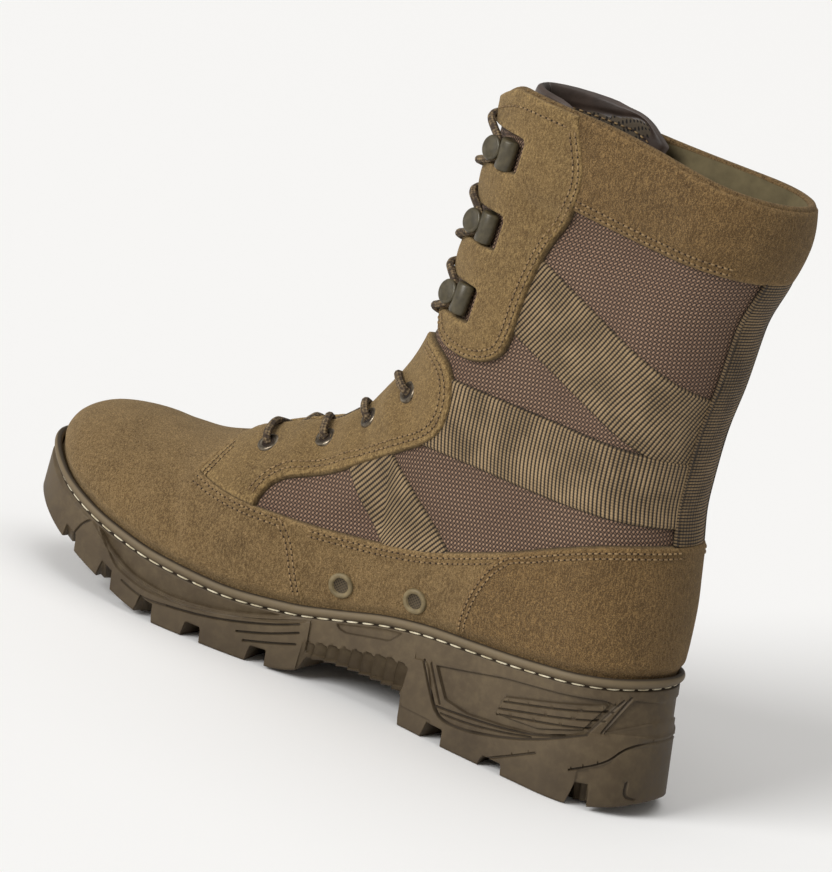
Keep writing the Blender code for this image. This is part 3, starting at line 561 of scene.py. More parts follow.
    def section(self, side: Side, u: float, count: int) -> Array:
        """One line of the upper, from its base to the ridge or to the edge of the throat.

        Args:
            side: Side of the boot.
            u: Row index of the line.
            count: Number of steps.

        Returns:
            Even points along the line.
        """
        share = 0.5 - 0.5 * np.cos(np.linspace(0.0, math.pi, self.samples))
        base_x, base_z = self.base_at(u)
        ridge_x, ridge_z, opening = self.ridge_at(u)
        x = base_x + (ridge_x - base_x) * share
        front = ease((share - self.front_share) / (1 - self.front_share))
        arch = self.medial_arch if side is Side.MEDIAL else self.lateral_arch
        bow = arch * ease(share / self.arch_full) * (1 - front) - self.front_drop * front
        z = base_z + (ridge_z - base_z) * share + bow * ease((u - TOP + self.arch_rows) / self.arch_rows)
        points = self.surface(side, x, z)
        if u >= CORNER:
            points[0, 1] = self.centre_y(x[0])
        width = np.abs(points[:, 1] - self.centre_y(x))
        narrow = (width < max(float(opening), self.ridge_flat)) & (share > 0.5)
        points = points[:int(np.argmax(narrow))] if narrow.any() else points
        if opening == 0.0:
            points = np.vstack([points, (ridge_x, self.centre_y(ridge_x), ridge_z)])
        return even(points, count)

    def rows(self, count: int) -> Array:
        """Row indices that space the upper's lines evenly along base and ridge.

        Args:
            count: Number of steps.

        Returns:
            The row indices.
        """
        u = np.linspace(0.0, TOP, 960)
        base_x, base_z = self.base_at(u)
        ridge_x, ridge_z, _ = self.ridge_at(u)
        base = self.surface(Side.MEDIAL, base_x, base_z)
        ridge = np.stack([ridge_x, np.zeros_like(u), ridge_z], axis=1)
        steps = [np.linalg.norm(np.diff(line, axis=0), axis=1) for line in (base, ridge)]
        length = np.concatenate(([0.0], np.cumsum(steps[0] + self.ridge_weight * steps[1])))
        return np.interp(np.linspace(0.0, length[-1], count + 1), length, u)

    def ridge_frame(self, u: float) -> tuple[Array, Array]:
        """Ridge point and its outward direction in side view at the row index u.

        Args:
            u: Row index on the ridge.

        Returns:
            The point and the direction.
        """
        step = 0.02
        x, z, _ = self.ridge_at(np.array([u, max(u - step, 0.0), min(u + step, TOP)]))
        run = np.array([x[2] - x[1], z[2] - z[1]])
        return np.array([x[0], z[0]]), -left_of(run)

    def over_throat(self, u: float, y: float, lift: float) -> Array:
        """Point above the closed throat at a distance y from the middle, lifted off the last.

        Args:
            u: Row index on the ridge.
            y: Distance from the middle, positive on the medial side.
            lift: Height over the surface.

        Returns:
            The point.
        """
        side = Side.MEDIAL if y >= 0 else Side.LATERAL
        spot, outward = self.ridge_frame(u)
        depth = np.linspace(0.0, self.throat_depth, 300)
        line = spot[:, None] - outward[:, None] * depth
        width = np.maximum.accumulate(self.half_width(side, line[0], line[1]))
        step = 0.6
        here, inner = np.interp([abs(y), abs(y) + step], width, depth)
        tilt = math.atan((inner - here) / step)
        x, z = spot - outward * here
        forward, up = outward * math.cos(tilt)
        move = np.array([forward, side.value * math.sin(tilt), up])
        return np.array([x, float(self.centre_y(x)) + y, z]) + move * lift

    def across_throat(self, u: float, side: Side, reach: float, count: int, lift: float) -> Array:
        """Even points from the ridge round one side, lifted off the last.

        Args:
            u: Row index on the ridge.
            side: Side of the boot.
            reach: Length along the surface.
            count: Number of steps.
            lift: Height over the surface.

        Returns:
            The points, from the ridge outwards.
        """
        spot, outward = self.ridge_frame(u)
        outward = unit(np.maximum(outward, 0.0))
        depth = np.linspace(0.0, self.side_depth, self.samples)
        line = spot[:, None] - outward[:, None] * depth
        width = self.half_width(side, line[0], line[1])
        length = np.concatenate(([0.0], np.cumsum(np.hypot(np.diff(depth), np.diff(width)))))
        slopes = [np.gradient(run) / np.gradient(length) for run in (depth, width)]
        at = np.linspace(0.0, reach, count + 1)
        deep, wide, inward, across = (np.interp(at, length, run) for run in (depth, width, *slopes))
        x, z = (spot[k] + outward[k] * (lift * across - deep) for k in range(2))
        return np.stack([x, self.centre_y(x) + side.value * (wide + lift * inward), z], axis=1)

    def row_of(self, spot: tuple[float, float]) -> float:
        """Row index of the ridge point nearest to a side-view point.

        Args:
            spot: The side-view point.

        Returns:
            The row index.
        """
        u = np.linspace(0.0, TOP, 960)
        x, z, _ = self.ridge_at(u)
        return float(u[np.hypot(x - spot[0], z - spot[1]).argmin()])


# Meshes

CARRIED = ("points", "normals", "spots", "carried", "level")


@dataclass
class Patch:
    """A sheet of triangles with what each vertex carries."""

    points: Array
    normals: Array
    spots: Array
    carried: Array
    tris: Array
    level: Array

    @property
    def rim(self) -> Array:
        """Distance of each vertex of the upper to its free edges."""
        return self.carried[:, 0]

    @property
    def side(self) -> Array:
        """Sign of the side that each vertex of the upper lies on."""
        return self.carried[:, 1]

    def compact(self) -> "Patch":
        """Drop the vertices that no triangle uses.

        Returns:
            The sheet without them.
        """
        used, index = np.unique(self.tris, return_inverse=True)
        kept = {name: getattr(self, name)[used] for name in CARRIED}
        return replace(self, tris=index.reshape(-1, 3), **kept)

    def split(self, at: float, clip: bool) -> "Patch":
        """Cut the triangles along one level of the field.

        Args:
            at: Level to cut along.
            clip: Whether what lies above the level is dropped.

        Returns:
            The cut sheet.
        """
        low = self.level < at
        count = low[self.tris].sum(axis=1)
        crossed = self.tris[(count == 1) | (count == 2)]
        keep = [self.tris[count == 3]] if clip else [self.tris[(count == 3) | (count == 0)]]
        seen: dict[tuple[int, int], int] = {}
        made: list[tuple[int, int, int]] = []
        for tri, lows in zip(crossed.tolist(), low[crossed].tolist()):
            alone = lows.index(sum(lows) == 1)
            a, b, c = (tri[(alone + k) % 3] for k in range(3))
            ab, ac = (seen.setdefault((min(a, end), max(a, end)), len(low) + len(seen)) for end in (b, c))
            if lows[alone] or not clip:
                made.append((a, ab, ac))
            if not lows[alone] or not clip:
                made += [(ab, b, c), (ab, c, ac)]
        keep.append(np.array(made, int).reshape(-1, 3))
        first, second = np.array(list(seen), int).reshape(-1, 2).T
        share = (at - self.level[first]) / (self.level[second] - self.level[first])

        def grown(values: Array) -> Array:
            """Values with those of the new vertices added."""
            weight = share.reshape(-1, *([1] * (values.ndim - 1)))
            return np.concatenate([values, values[first] * (1 - weight) + values[second] * weight])

        values = {name: grown(getattr(self, name)) for name in CARRIED}
        cut = replace(self, tris=np.concatenate(keep), **values)
        return cut.compact() if clip else cut

    def scored(self, field_of: Callable[[Array], Array], *places: float) -> "Patch":
        """Cut the triangles along levels of a field of the side view, and keep them all.

        Args:
            field_of: Gives the field at side-view points.
            places: Levels to cut along.

        Returns:
            The cut sheet.
        """
        patch = self
        for at in places:
            patch = replace(patch, level=field_of(patch.spots)).split(at, False)
        return patch


def grid_tris(index: Array) -> Array:
    """Triangles of a grid of vertex indices.

    Args:
        index: Vertex indices, row by row.

    Returns:
        Their corners.
    """
    a, b = index[:-1, :-1].ravel(), index[1:, :-1].ravel()
    c, d = index[1:, 1:].ravel(), index[:-1, 1:].ravel()
    return np.concatenate([np.stack([a, b, c], axis=1), np.stack([a, c, d], axis=1)])


def tri_crosses(points: Array, tris: Array) -> Array:
    """Normal of each triangle, as long as twice its area."""
    return np.cross(points[tris[:, 1]] - points[tris[:, 0]], points[tris[:, 2]] - points[tris[:, 0]])


def whole_tris(points: Array, tris: Array) -> Array:
    """The triangles that have an area."""
    return tris[np.linalg.norm(tri_crosses(points, tris), axis=1) > 1e-6]


def vertex_normals(points: Array, tris: Array) -> Array:
    """Unit normals at the vertices of a sheet.

    Args:
        points: Points in millimetres.
        tris: Corner indices of the triangles.

    Returns:
        The normals, one a vertex.
    """
    cross = tri_crosses(points, tris)
    normals = np.zeros_like(points)
    for k in range(3):
        np.add.at(normals, tris[:, k], cross)
    return unit(normals)


def border_edges(tris: Array) -> Array:
    """Directed edges of triangles that have no neighbour.

    Args:
        tris: Corner indices of the triangles.

    Returns:
        Pairs of vertex indices.
    """
    edges = np.concatenate([tris[:, [0, 1]], tris[:, [1, 2]], tris[:, [2, 0]]])
    keys = np.sort(edges, axis=1)
    _, index, counts = np.unique(keys, axis=0, return_index=True, return_counts=True)
    return edges[index[counts == 1]]


def make_object(name: str, points: Array, faces: Iterable[Sequence[int]], material: Material,
                uv: Array | None = None, values: dict[str, Array] | None = None) -> Piece:
    """Make a smooth-shaded mesh object from points in millimetres.

    Args:
        name: Name of the piece.
        points: Vertices in the boot's frame.
        faces: Corner indices of each face.
        material: Finish of the whole piece.
        uv: Surface coordinates in millimetres, one pair a vertex.
        values: Named numbers, one a vertex, for the finish to read.

    Returns:
        The linked object.
    """
    mesh = bpy.data.meshes.new(name)
    mesh.from_pydata(((points - ORIGIN) * MM).tolist(), [], [list(face) for face in faces])
    mesh.polygons.foreach_set("use_smooth", np.ones(len(mesh.polygons), bool))
    if uv is not None:
        layer = mesh.uv_layers.new(name="weave")
        corners = np.zeros(len(mesh.loops), np.int32)
        mesh.loops.foreach_get("vertex_index", corners)
        layer.data.foreach_set("uv", uv[corners].astype(np.float32).ravel())
    for key, value in (values or {}).items():
        attribute = mesh.attributes.new(key, "FLOAT", "POINT")
        attribute.data.foreach_set("value", value.astype(np.float32))
    mesh.materials.append(material)
    mesh.update()
    thing = bpy.data.objects.new(name, mesh)
    bpy.context.scene.collection.objects.link(thing)
    return thing


def hand_over(thing: Piece, slot: str, *nodes: str) -> Piece:
    """Tie a finished piece to the frame and hide the nodes it stands for.

    Args:
        thing: The piece.
        slot: Its slot; not used.
        nodes: Nodes that it replaces.

    Returns:
        The same piece.
    """
    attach(thing, BODY)
    if nodes:
        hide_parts(*nodes)
    LOG.info("%s: %d faces", thing.name, len(thing.data.polygons))
    return thing


@dataclass
class Builder:
    """Collects vertices and faces of many small shapes that become one mesh."""

    points: list[Array] = field(default_factory=list)
    faces: list[tuple[int, ...]] = field(default_factory=list)
    uv: list[Array] = field(default_factory=list)
    count: int = 0

    def add(self, points: Array, faces: Iterable[Sequence[int]], uv: Array | None = None) -> None:
        """Add one shape.

        Args:
            points: Points in millimetres.
            faces: Corner indices of each face.
            uv: Surface coordinates in millimetres.
        """
        self.points.append(points)
        self.uv.append(np.zeros((len(points), 2)) if uv is None else uv)
        self.faces += [tuple(k + self.count for k in face) for face in faces]
        self.count += len(points)

    def make(self, name: str, material: Material) -> Piece:
        """Turn everything collected into one object."""
        return make_object(name, np.concatenate(self.points), self.faces, material, np.concatenate(self.uv))


def ring_faces(rings: int, around: int, closed: bool = True) -> list[tuple[int, int, int, int]]:
    """Quads between stacked rings of vertices.

    Args:
        rings: Number of rings.
        around: Vertices in each.
        closed: Whether the last vertex meets the first.

    Returns:
        The faces.
    """
    faces = []
    for r in range(rings - 1):
        for k in range(around if closed else around - 1):
            n = (k + 1) % around
            faces.append((r * around + k, r * around + n, (r + 1) * around + n, (r + 1) * around + k))
    return faces


def capped_faces(rings: int, around: int) -> list[tuple[int, ...]]:
    """Quads between stacked rings of vertices, with both ends closed."""
    last = (rings - 1) * around
    return ring_faces(rings, around) + [tuple(range(around))[::-1], tuple(range(last, last + around))]


# Finishes

class Colour(NamedTuple):
    """A linear colour."""

    red: float
    green: float
    blue: float


def srgb(red: int, green: int, blue: int) -> Colour:
    """Linear colour of a screen colour.

    Args:
        red: Red, up to 255.
        green: Green, the same.
        blue: Blue, the same.

    Returns:
        The colour.
    """
    def linear(value: int) -> float:
        """One channel."""
        share = value / 255
        return share / 12.92 if share <= 0.04045 else ((share + 0.055) / 1.055) ** 2.4
    return Colour(linear(red), linear(green), linear(blue))


class Finish:
    """A node material in the making, with short calls for the nodes it needs."""

    def __init__(self, name: str, roughness: float, metallic: float = 0.0) -> None:
        """Start a material from a plain shader.

        Args:
            name: Name of the material.
            roughness: Its roughness.
            metallic: Its metallic share.
        """
        self.material = bpy.data.materials.new(name)
        self.material.use_nodes = True
        self.tree = self.material.node_tree
        self.shader = self.tree.nodes["Principled BSDF"]
        self.put(self.shader.inputs["Roughness"], roughness)
        self.put(self.shader.inputs["Metallic"], metallic)

    def node(self, kind: str, **settings: object) -> bpy.types.Node:
        """Add a node and set its properties.

        Args:
            kind: Kind of node.
            settings: Its properties.

        Returns:
            The node.
        """
        made = self.tree.nodes.new(kind)
        for key, value in settings.items():
            setattr(made, key, value)
        return made

    def put(self, socket: Socket, value: object) -> None:
        """Link a socket into another, or set a plain value on it.

        Args:
            socket: Where it goes.
            value: A socket, a colour or a number.
        """
        if isinstance(value, Socket):
            self.tree.links.new(value, socket)
        elif isinstance(value, Colour):
            socket.default_value = (*value, 1.0)
        else:
            socket.default_value = value

    def math(self, operation: str, first: object, second: object = 0.0, third: object = 0.0) -> Socket:
        """One arithmetic step.

        Args:
            operation: What is done.
            first: First value.
            second: Second value.
            third: Third value, where one is used.

        Returns:
            The result.
        """
        made = self.node("ShaderNodeMath", operation=operation)
        for socket, value in zip(made.inputs, (first, second, third)):
            self.put(socket, value)
        return made.outputs[0]

    def times(self, first: object, second: object) -> Socket:
        """Product of two values."""
        return self.math("MULTIPLY", first, second)

    def rest(self, share: object) -> Socket:
        """What is left of 1."""
        return self.math("SUBTRACT", 1.0, share)

    def place(self) -> Socket:
        """Object coordinates, in metres."""
        return self.node("ShaderNodeTexCoord").outputs["Object"]

    def weave(self) -> tuple[Socket, Socket]:
        """Surface coordinates in millimetres, along and across.

        Returns:
            Both coordinates.
        """
        split = self.node("ShaderNodeSeparateXYZ")
        self.tree.links.new(self.node("ShaderNodeUVMap", uv_map="weave").outputs[0], split.inputs[0])
        return split.outputs[0], split.outputs[1]

    def value(self, name: str) -> Socket:
        """A number that each vertex carries."""
        return self.node("ShaderNodeAttribute", attribute_name=name).outputs["Fac"]

    def noise(self, scale: float, detail: float = 3.0, rough: float = 0.55,
              stretch: tuple[float, float, float] = (1.0, 1.0, 1.0)) -> Socket:
        """Noise over the object, from 0 to 1.

        Args:
            scale: Waves to the metre.
            detail: Finer layers.
            rough: Their strength.
            stretch: Factors along the axes.

        Returns:
            The noise.
        """
        shift = self.node("ShaderNodeMapping")
        shift.inputs["Scale"].default_value = stretch
        self.tree.links.new(self.place(), shift.inputs["Vector"])
        made = self.node("ShaderNodeTexNoise")
        self.tree.links.new(shift.outputs[0], made.inputs["Vector"])
        made.inputs["Scale"].default_value = scale
        made.inputs["Detail"].default_value = detail
        made.inputs["Roughness"].default_value = rough
        return made.outputs["Fac"]

    def range(self, value: Socket, low: float, high: float, to_low: float = 0.0,
              to_high: float = 1.0) -> Socket:
        """Bring a stretch of values to another, held at its ends.

        Args:
            value: What is brought.
            low: Its low end.
            high: Its high end.
            to_low: What the low end becomes.
            to_high: What the high end becomes.

        Returns:
            The result.
        """
        made = self.node("ShaderNodeMapRange")
        self.put(made.inputs[0], value)
        for socket, number in zip(list(made.inputs)[1:5], (low, high, to_low, to_high)):
            socket.default_value = number
        return made.outputs[0]

    def mix(self, share: object, first: object, second: object) -> Socket:
        """Mix two colours.

        Args:
            share: Share of the second.
            first: First colour.
            second: Second colour.

        Returns:
            The mix.
        """
        made = self.node("ShaderNodeMix", data_type="RGBA", blend_type="MIX")
        self.put(made.inputs[0], share)
        self.put(made.inputs[6], first)
        self.put(made.inputs[7], second)
        return made.outputs[2]

    def bump(self, height: Socket, depth: float, strength: float = 1.0,
             under: Socket | None = None) -> Socket:
        """Raise the surface by a height, in millimetres at full height.

        Args:
            height: Height from 0 to 1.
            depth: Size of a full height.
            strength: Share that shows.
            under: Normal that it is laid on.

        Returns:
            The normal.
        """
        made = self.node("ShaderNodeBump")
        made.inputs["Strength"].default_value = strength
        made.inputs["Distance"].default_value = depth * MM
        self.put(made.inputs["Height"], height)
        if under is not None:
            self.put(made.inputs["Normal"], under)
        return made.outputs[0]

    def finish(self, colour: object, normal: Socket | None = None,
               roughness: Socket | None = None) -> Material:
        """Wire the shader and hand out the material.

        Args:
            colour: Base colour.
            normal: Bumped normal.
            roughness: Roughness, where it varies.

        Returns:
            The material.
        """
        self.put(self.shader.inputs["Base Color"], colour)
        if normal is not None:
            self.put(self.shader.inputs["Normal"], normal)
        if roughness is not None:
            self.put(self.shader.inputs["Roughness"], roughness)
        return self.material


@dataclass(frozen=True)
class SuedeFinish:
    """Napped suede with clouds, speckled grain, and cut edges darkened partly as raw edge and partly as
    painted shadow.
    """

    name: str
    dark: Colour = srgb(60, 42, 21)
    middle: Colour = srgb(112, 88, 54)
    light: Colour = srgb(164, 136, 93)
    grain: float = 1.0
    brush: tuple[float, float, float] = (1.0, 1.0, 0.5)

    def make(self) -> Material:
        """Build the material.

        Returns:
            The material.
        """
        f = Finish(self.name, 0.92)
        f.put(f.shader.inputs["Sheen Weight"], 0.2)
        f.put(f.shader.inputs["Sheen Roughness"], 0.6)
        f.put(f.shader.inputs["Sheen Tint"], (0.9, 0.72, 0.45, 1.0))
        f.put(f.shader.inputs["Specular IOR Level"], 0.2)
        cloud = f.range(f.noise(34.0, 4.0, 0.6), 0.3, 0.7, 0.35, 1.0)
        patchy = f.range(f.noise(130.0, 3.0, 0.6), 0.3, 0.7, 0.0, 0.25)
        fibre = f.range(f.noise(1050.0, 3.0, 0.8, self.brush), 0.41, 0.59)
        speck = f.range(f.noise(1900.0, 2.0, 0.7), 0.41, 0.59)
        colour = f.mix(cloud, self.dark, self.middle)
        colour = f.mix(patchy, colour, self.light)
        colour = f.mix(f.times(fibre, 0.5 * self.grain), colour, self.light)
        dots = f.times(f.rest(speck), 0.62 * self.grain)
        colour = f.mix(dots, colour, self.dark)
        edge = f.value("edge")
        rub = f.times(f.range(edge, 0.4, 3.2, 0.5, 0.0), fibre)
        colour = f.mix(rub, colour, self.light)
        # Darker towards the cut edge and fully dark on the skirt: partly the raw cut edge, partly painted
        # shadow under the panel's edge.
        colour = f.mix(f.range(edge, -0.8, 0.35, 1.0, 0.0), colour, srgb(36, 22, 11))
        fine = f.bump(speck, 0.2, 0.6)
        normal = f.bump(fibre, 0.3, 0.6 * self.grain, fine)
        return f.finish(colour, normal)


@dataclass(frozen=True)
class NylonFinish:
    """Coarse plain weave, with painted shade between its threads."""

    name: str = "nylon"
    pitch: float = 1.25
    gap: Colour = srgb(34, 21, 13)
    warp: Colour = srgb(150, 121, 97)
    weft: Colour = srgb(98, 75, 57)

    def make(self) -> Material:
        """Build the material.

        Returns:
            The material.
        """
        f = Finish(self.name, 0.78)
        along, across = f.weave()
        turns = [f.times(part, math.pi / self.pitch) for part in (along, across)]
        waves = [f.math("SINE", part) for part in turns]
        swells = [f.math("ABSOLUTE", part) for part in waves]
        over = f.math("GREATER_THAN", f.times(waves[0], waves[1]), 0.0)
        under = f.rest(over)
        crown = f.math("ADD", f.times(swells[0], over), f.times(swells[1], under))
        valley = f.math("ADD", f.times(swells[1], over), f.times(swells[0], under))
        height = f.times(crown, f.math("MULTIPLY_ADD", valley, 0.45, 0.55))
        thread = f.mix(over, self.weft, self.warp)
        cloud = f.range(f.noise(26.0, 3.0), 0.3, 0.7)
        thread = f.mix(f.times(cloud, 0.4), thread, srgb(96, 66, 49))
        # Dark where the threads dip: painted shade in the gaps of the weave.
        colour = f.mix(f.range(height, 0.3, 0.74), self.gap, thread)
        normal = f.bump(height, 0.35, 0.9)
        return f.finish(colour, normal)


@dataclass(frozen=True)
class WebbingFinish:
    """Webbing with strong ribs across its length, painted shade between the ribs and painted shadow along its
    edges.
    """

    name: str = "webbing"
    rib: float = 1.75
    thread: float = 1.15
    bite: float = 0.2
    gap: Colour = srgb(30, 20, 9)
    low: Colour = srgb(130, 108, 76)
    high: Colour = srgb(154, 130, 96)

    def make(self) -> Material:
        """Build the material.

        Returns:
            The material.
        """
        f = Finish(self.name, 0.82)
        along, across = f.weave()
        ribs = f.math("ABSOLUTE", f.math("SINE", f.times(along, math.pi / self.rib)))
        threads = f.math("ABSOLUTE", f.math("SINE", f.times(across, math.pi / self.thread)))
        cloud = f.range(f.noise(70.0, 3.0), 0.35, 0.65)
        bite = f.math("MULTIPLY_ADD", cloud, self.bite, 0.3)
        cut = f.times(bite, f.rest(threads))
        height = f.times(ribs, f.rest(cut))
        colour = f.mix(cloud, self.high, self.low)
        # Darker where the weave is low: painted shade between the ribs and threads.
        colour = f.mix(f.range(height, 0.32, 0.78), self.gap, colour)
        # Dark at the cut edge and on the skirt: painted shadow under the strap's edge.
        colour = f.mix(f.range(f.value("edge"), -0.7, 0.4, 1.0, 0.0), colour, self.gap)
        return f.finish(colour, f.bump(height, 0.45, 1.0))


@dataclass(frozen=True)
class RubberFinish:
    """Matte moulded rubber with a fine grain and a little dust, painted shade in its hollows and towards the
    ground, and a painted highlight on the bead.
    """

    name: str = "rubber"
    dark: Colour = srgb(68, 55, 37)
    light: Colour = srgb(88, 74, 53)

    def make(self) -> Material:
        """Build the material.

        Returns:
            The material.
        """
        f = Finish(self.name, 0.66)
        f.put(f.shader.inputs["Specular IOR Level"], 0.35)
        cloud = f.range(f.noise(30.0, 5.0, 0.6), 0.3, 0.7)
        grain = f.noise(2600.0, 2.0)
        dust = f.range(f.noise(240.0, 4.0, 0.7), 0.45, 0.75)
        colour = f.mix(cloud, self.dark, self.light)
        colour = f.mix(f.times(dust, 0.18), colour, srgb(132, 118, 92))
        # Lighter on the bead's outer shoulder: painted highlight.
        colour = f.mix(f.times(f.value("bead"), 0.6), colour, srgb(118, 103, 78))
        # Darker in the grooves, the stitch channel, at the bead's top, at block edges and between the pleats:
        # painted shade.
        groove = f.range(f.value("groove"), 0.15, 0.9)
        colour = f.mix(f.times(groove, 0.75), colour, srgb(30, 22, 13))
        # Darker towards the ground: painted shade.
        low = self._low(f)
        colour = f.mix(low, colour, srgb(44, 34, 22))
        rough = f.range(dust, 0.0, 1.0, 0.6, 0.8)
        return f.finish(colour, f.bump(grain, 0.08, 0.5), rough)

    @staticmethod
    def _low(f: Finish) -> Socket:
        """Share of painted shade, darker towards the ground.

        Args:
            f: The material in the making.

        Returns:
            The share.
        """
        split = f.node("ShaderNodeSeparateXYZ")
        f.put(split.inputs[0], f.place())
        return f.range(split.outputs[2], 0.0, 0.03, 0.4, 0.0)


@dataclass(frozen=True)
class SmoothFinish:
    """A plain-surfaced material with soft clouds and a fine grain."""

    name: str
    dark: Colour
    light: Colour
    roughness: float
    metallic: float = 0.0
    cloud: float = 60.0
    grain: float = 900.0
    depth: float = 0.12

    def make(self) -> Material:
        """Build the material.

        Returns:
            The material.
        """
        f = Finish(self.name, self.roughness, self.metallic)
        share = f.range(f.noise(self.cloud, 4.0, 0.6), 0.32, 0.68)
        colour = f.mix(share, self.dark, self.light)
        return f.finish(colour, f.bump(f.noise(self.grain, 3.0), self.depth, 0.6))


@dataclass(frozen=True)
class MeshLiningFinish:
    """Spacer mesh with small round holes, painted near black as the shade inside them."""

    name: str = "mesh_lining"
    pitch: float = 3.2
    cloth: Colour = srgb(64, 55, 43)
    hole: Colour = srgb(14, 11, 8)

    def make(self) -> Material:
        """Build the material.

        Returns:
            The material.
        """
        f = Finish(self.name, 0.9)
        along, across = f.weave()
        turns = [f.times(part, 2 * math.pi / self.pitch) for part in (along, across)]
        waves = [f.math("COSINE", part) for part in turns]
        rise = f.times(waves[0], waves[1])
        holes = f.range(rise, 0.42, 0.62)
        fuzz = f.noise(1600.0, 3.0)
        colour = f.mix(f.times(fuzz, 0.5), self.cloth, srgb(92, 80, 63))
        # The holes are painted near black: painted shade inside the mesh.
        colour = f.mix(holes, colour, self.hole)
        return f.finish(colour, f.bump(f.rest(holes), 0.6, 0.9))


@dataclass(frozen=True)
class LaceFinish:
    """Round braid of mottled yarns, with painted shade in the crevices between strands."""

    name: str = "lace"
    braid: float = 2.6
    strands: float = 3.0
    dark: Colour = srgb(56, 43, 30)
    light: Colour = srgb(146, 124, 90)

    def make(self) -> Material:
        """Build the material.

        Returns:
            The material.
        """
        f = Finish(self.name, 0.85)
        along, around = f.weave()
        turn = f.times(along, 2 * math.pi / self.braid)
        twist = f.times(around, 2 * math.pi * self.strands)
        left = f.math("SINE", f.math("ADD", turn, twist))
        right = f.math("SINE", f.math("SUBTRACT", turn, twist))
        height = f.range(f.times(left, right), -0.9, 0.9)
        yarn = f.range(f.noise(520.0, 2.0), 0.4, 0.6)
        # Darker where the strands dip: painted shade in the braid's crevices, over the yarn's own mottling.
        colour = f.mix(f.times(yarn, height), self.dark, self.light)
        return f.finish(colour, f.bump(height, 0.4, 1.0))


FINISHES = (
    SuedeFinish("suede"),
    SuedeFinish("suede_rough", srgb(54, 36, 17), srgb(102, 77, 44), srgb(150, 120, 77), 1.2, (1.0, 1.0, 0.4)),
    SuedeFinish("suede_gold", srgb(64, 45, 23), srgb(112, 88, 54), srgb(168, 140, 92)),
    NylonFinish(),
    WebbingFinish(),
    WebbingFinish("back_webbing", 1.3, 1.9, 0.4, low=srgb(112, 91, 61), high=srgb(134, 111, 78)),
    RubberFinish(),
    SmoothFinish("leather", srgb(48, 38, 32), srgb(76, 62, 54), 0.5),
    SmoothFinish("lining", srgb(82, 72, 48), srgb(112, 100, 70), 0.9, grain=1800.0, depth=0.2),
    MeshLiningFinish(),
    SmoothFinish("metal", srgb(54, 48, 33), srgb(80, 72, 52), 0.4, 0.15, 300.0, 2000.0, 0.05),
    SmoothFinish("worn_metal", srgb(62, 50, 36), srgb(140, 130, 114), 0.3, 0.85, 300.0, 1500.0, 0.06),
    SmoothFinish("vent_ring", srgb(92, 79, 51), srgb(126, 110, 77), 0.6, 0.0, 240.0, 1800.0, 0.06),
    MeshLiningFinish("vent_mesh", 1.5, srgb(70, 58, 38), srgb(22, 17, 11)),
    SmoothFinish("thread", srgb(98, 75, 45), srgb(152, 125, 84), 0.7, 0.0, 300.0, 3000.0, 0.1),
    # Painted shade: near black for the inside of needle holes and eyelet holes.
    SmoothFinish("needle_hole", srgb(26, 16, 8), srgb(42, 28, 15), 0.95),
    SmoothFinish("welt_thread", srgb(170, 156, 124), srgb(226, 216, 190), 0.75, 0.0, 200.0, 3000.0, 0.1),
    LaceFinish(),
    SmoothFinish("sock", srgb(50, 42, 31), srgb(74, 64, 48), 0.95),
)


# Seams in side view

VAMP_REAR = soften(((159.6, 26), (159.6, 33.4), (164, 44), (167, 52), (171, 59.5), (178, 64.5)))
VAMP_TOP = soften(((178, 64.5), (193, 63.5), (210, 63.3), (225.5, 65.3)))
STAY_FRONT = soften(((225.5, 65.3), (222, 77), (216, 100)))
QUARTER_TOP = soften(((184, 64), (162, 65.5), (142, 68), (123, 71.5), (105, 76.5), (76, 88.5), (66, 93)))
COUNTER_FRONT = soften(((90.5, 38), (90.5, 47), (90, 58), (87.5, 70), (83, 81), (76, 88.5)))
COUNTER_TOP = soften(((76, 88.5), (55, 99), (30, 110), (-10, 118)))
LOW_STAY_REAR = soften((
    (193, 63.5), (193, 69), (189, 77), (178, 82.5), (165, 89), (153, 98),
    (139, 108.5), (121.5, 121), (118.5, 135), (122, 148), (133, 155.5), (160, 158.5),
))
UP_STAY_REAR = soften((
    (104, 275), (99, 262), (92.5, 250), (90.5, 240), (92, 231.5), (96, 219),
    (100, 206), (102, 190), (102, 168.5), (106.5, 162), (116, 157.5), (128, 157.5),
    (137.5, 160.5), (142, 167), (150, 170),
))
UP_STAY_TOP = soften(((104, 267.5), (128, 268.5), (138, 264.8), (144, 261.5)))
UP_STAY_FAR_TOP = soften(((104, 260.2), (128, 261.2), (138, 260.6), (144, 259.8)))
COLLAR_LOW = soften(((-10, 227), (40, 227.5), (92, 231.5), (96, 232)))
COLLAR_FRONT = soften(((96, 232), (95, 240), (97, 250), (103.5, 262), (110, 275), (112, 290)))
LOW_STRAP = np.array(((128, 64), (161, 96), (146, 112), (98, 73)))
MID_STRAP = np.array(((134, 116.5), (134, 147), (-10, 147.5), (-10, 121.5), (63, 117)))
UP_STRAP = np.array(((112, 212.5), (112, 179), (24, 144), (-10, 144), (-10, 163)))
EYELETS = ((203, 86), (178, 98), (160, 114), (143, 132.5))
HOOKS = ((137, 179), (136, 211), (136, 243))
HOOK_SLOTS = ((122.5, 178.5), (121, 210.5), (121, 243.5))
VENTS = ((146, 46.5), (111.5, 53))


# The upper

# Limits of a panel's field: how far it is exact, what it says beyond, and the longest way to a free edge
NEAR, FAR, RIM_LIMIT = 6.0, 50.0, 80.0


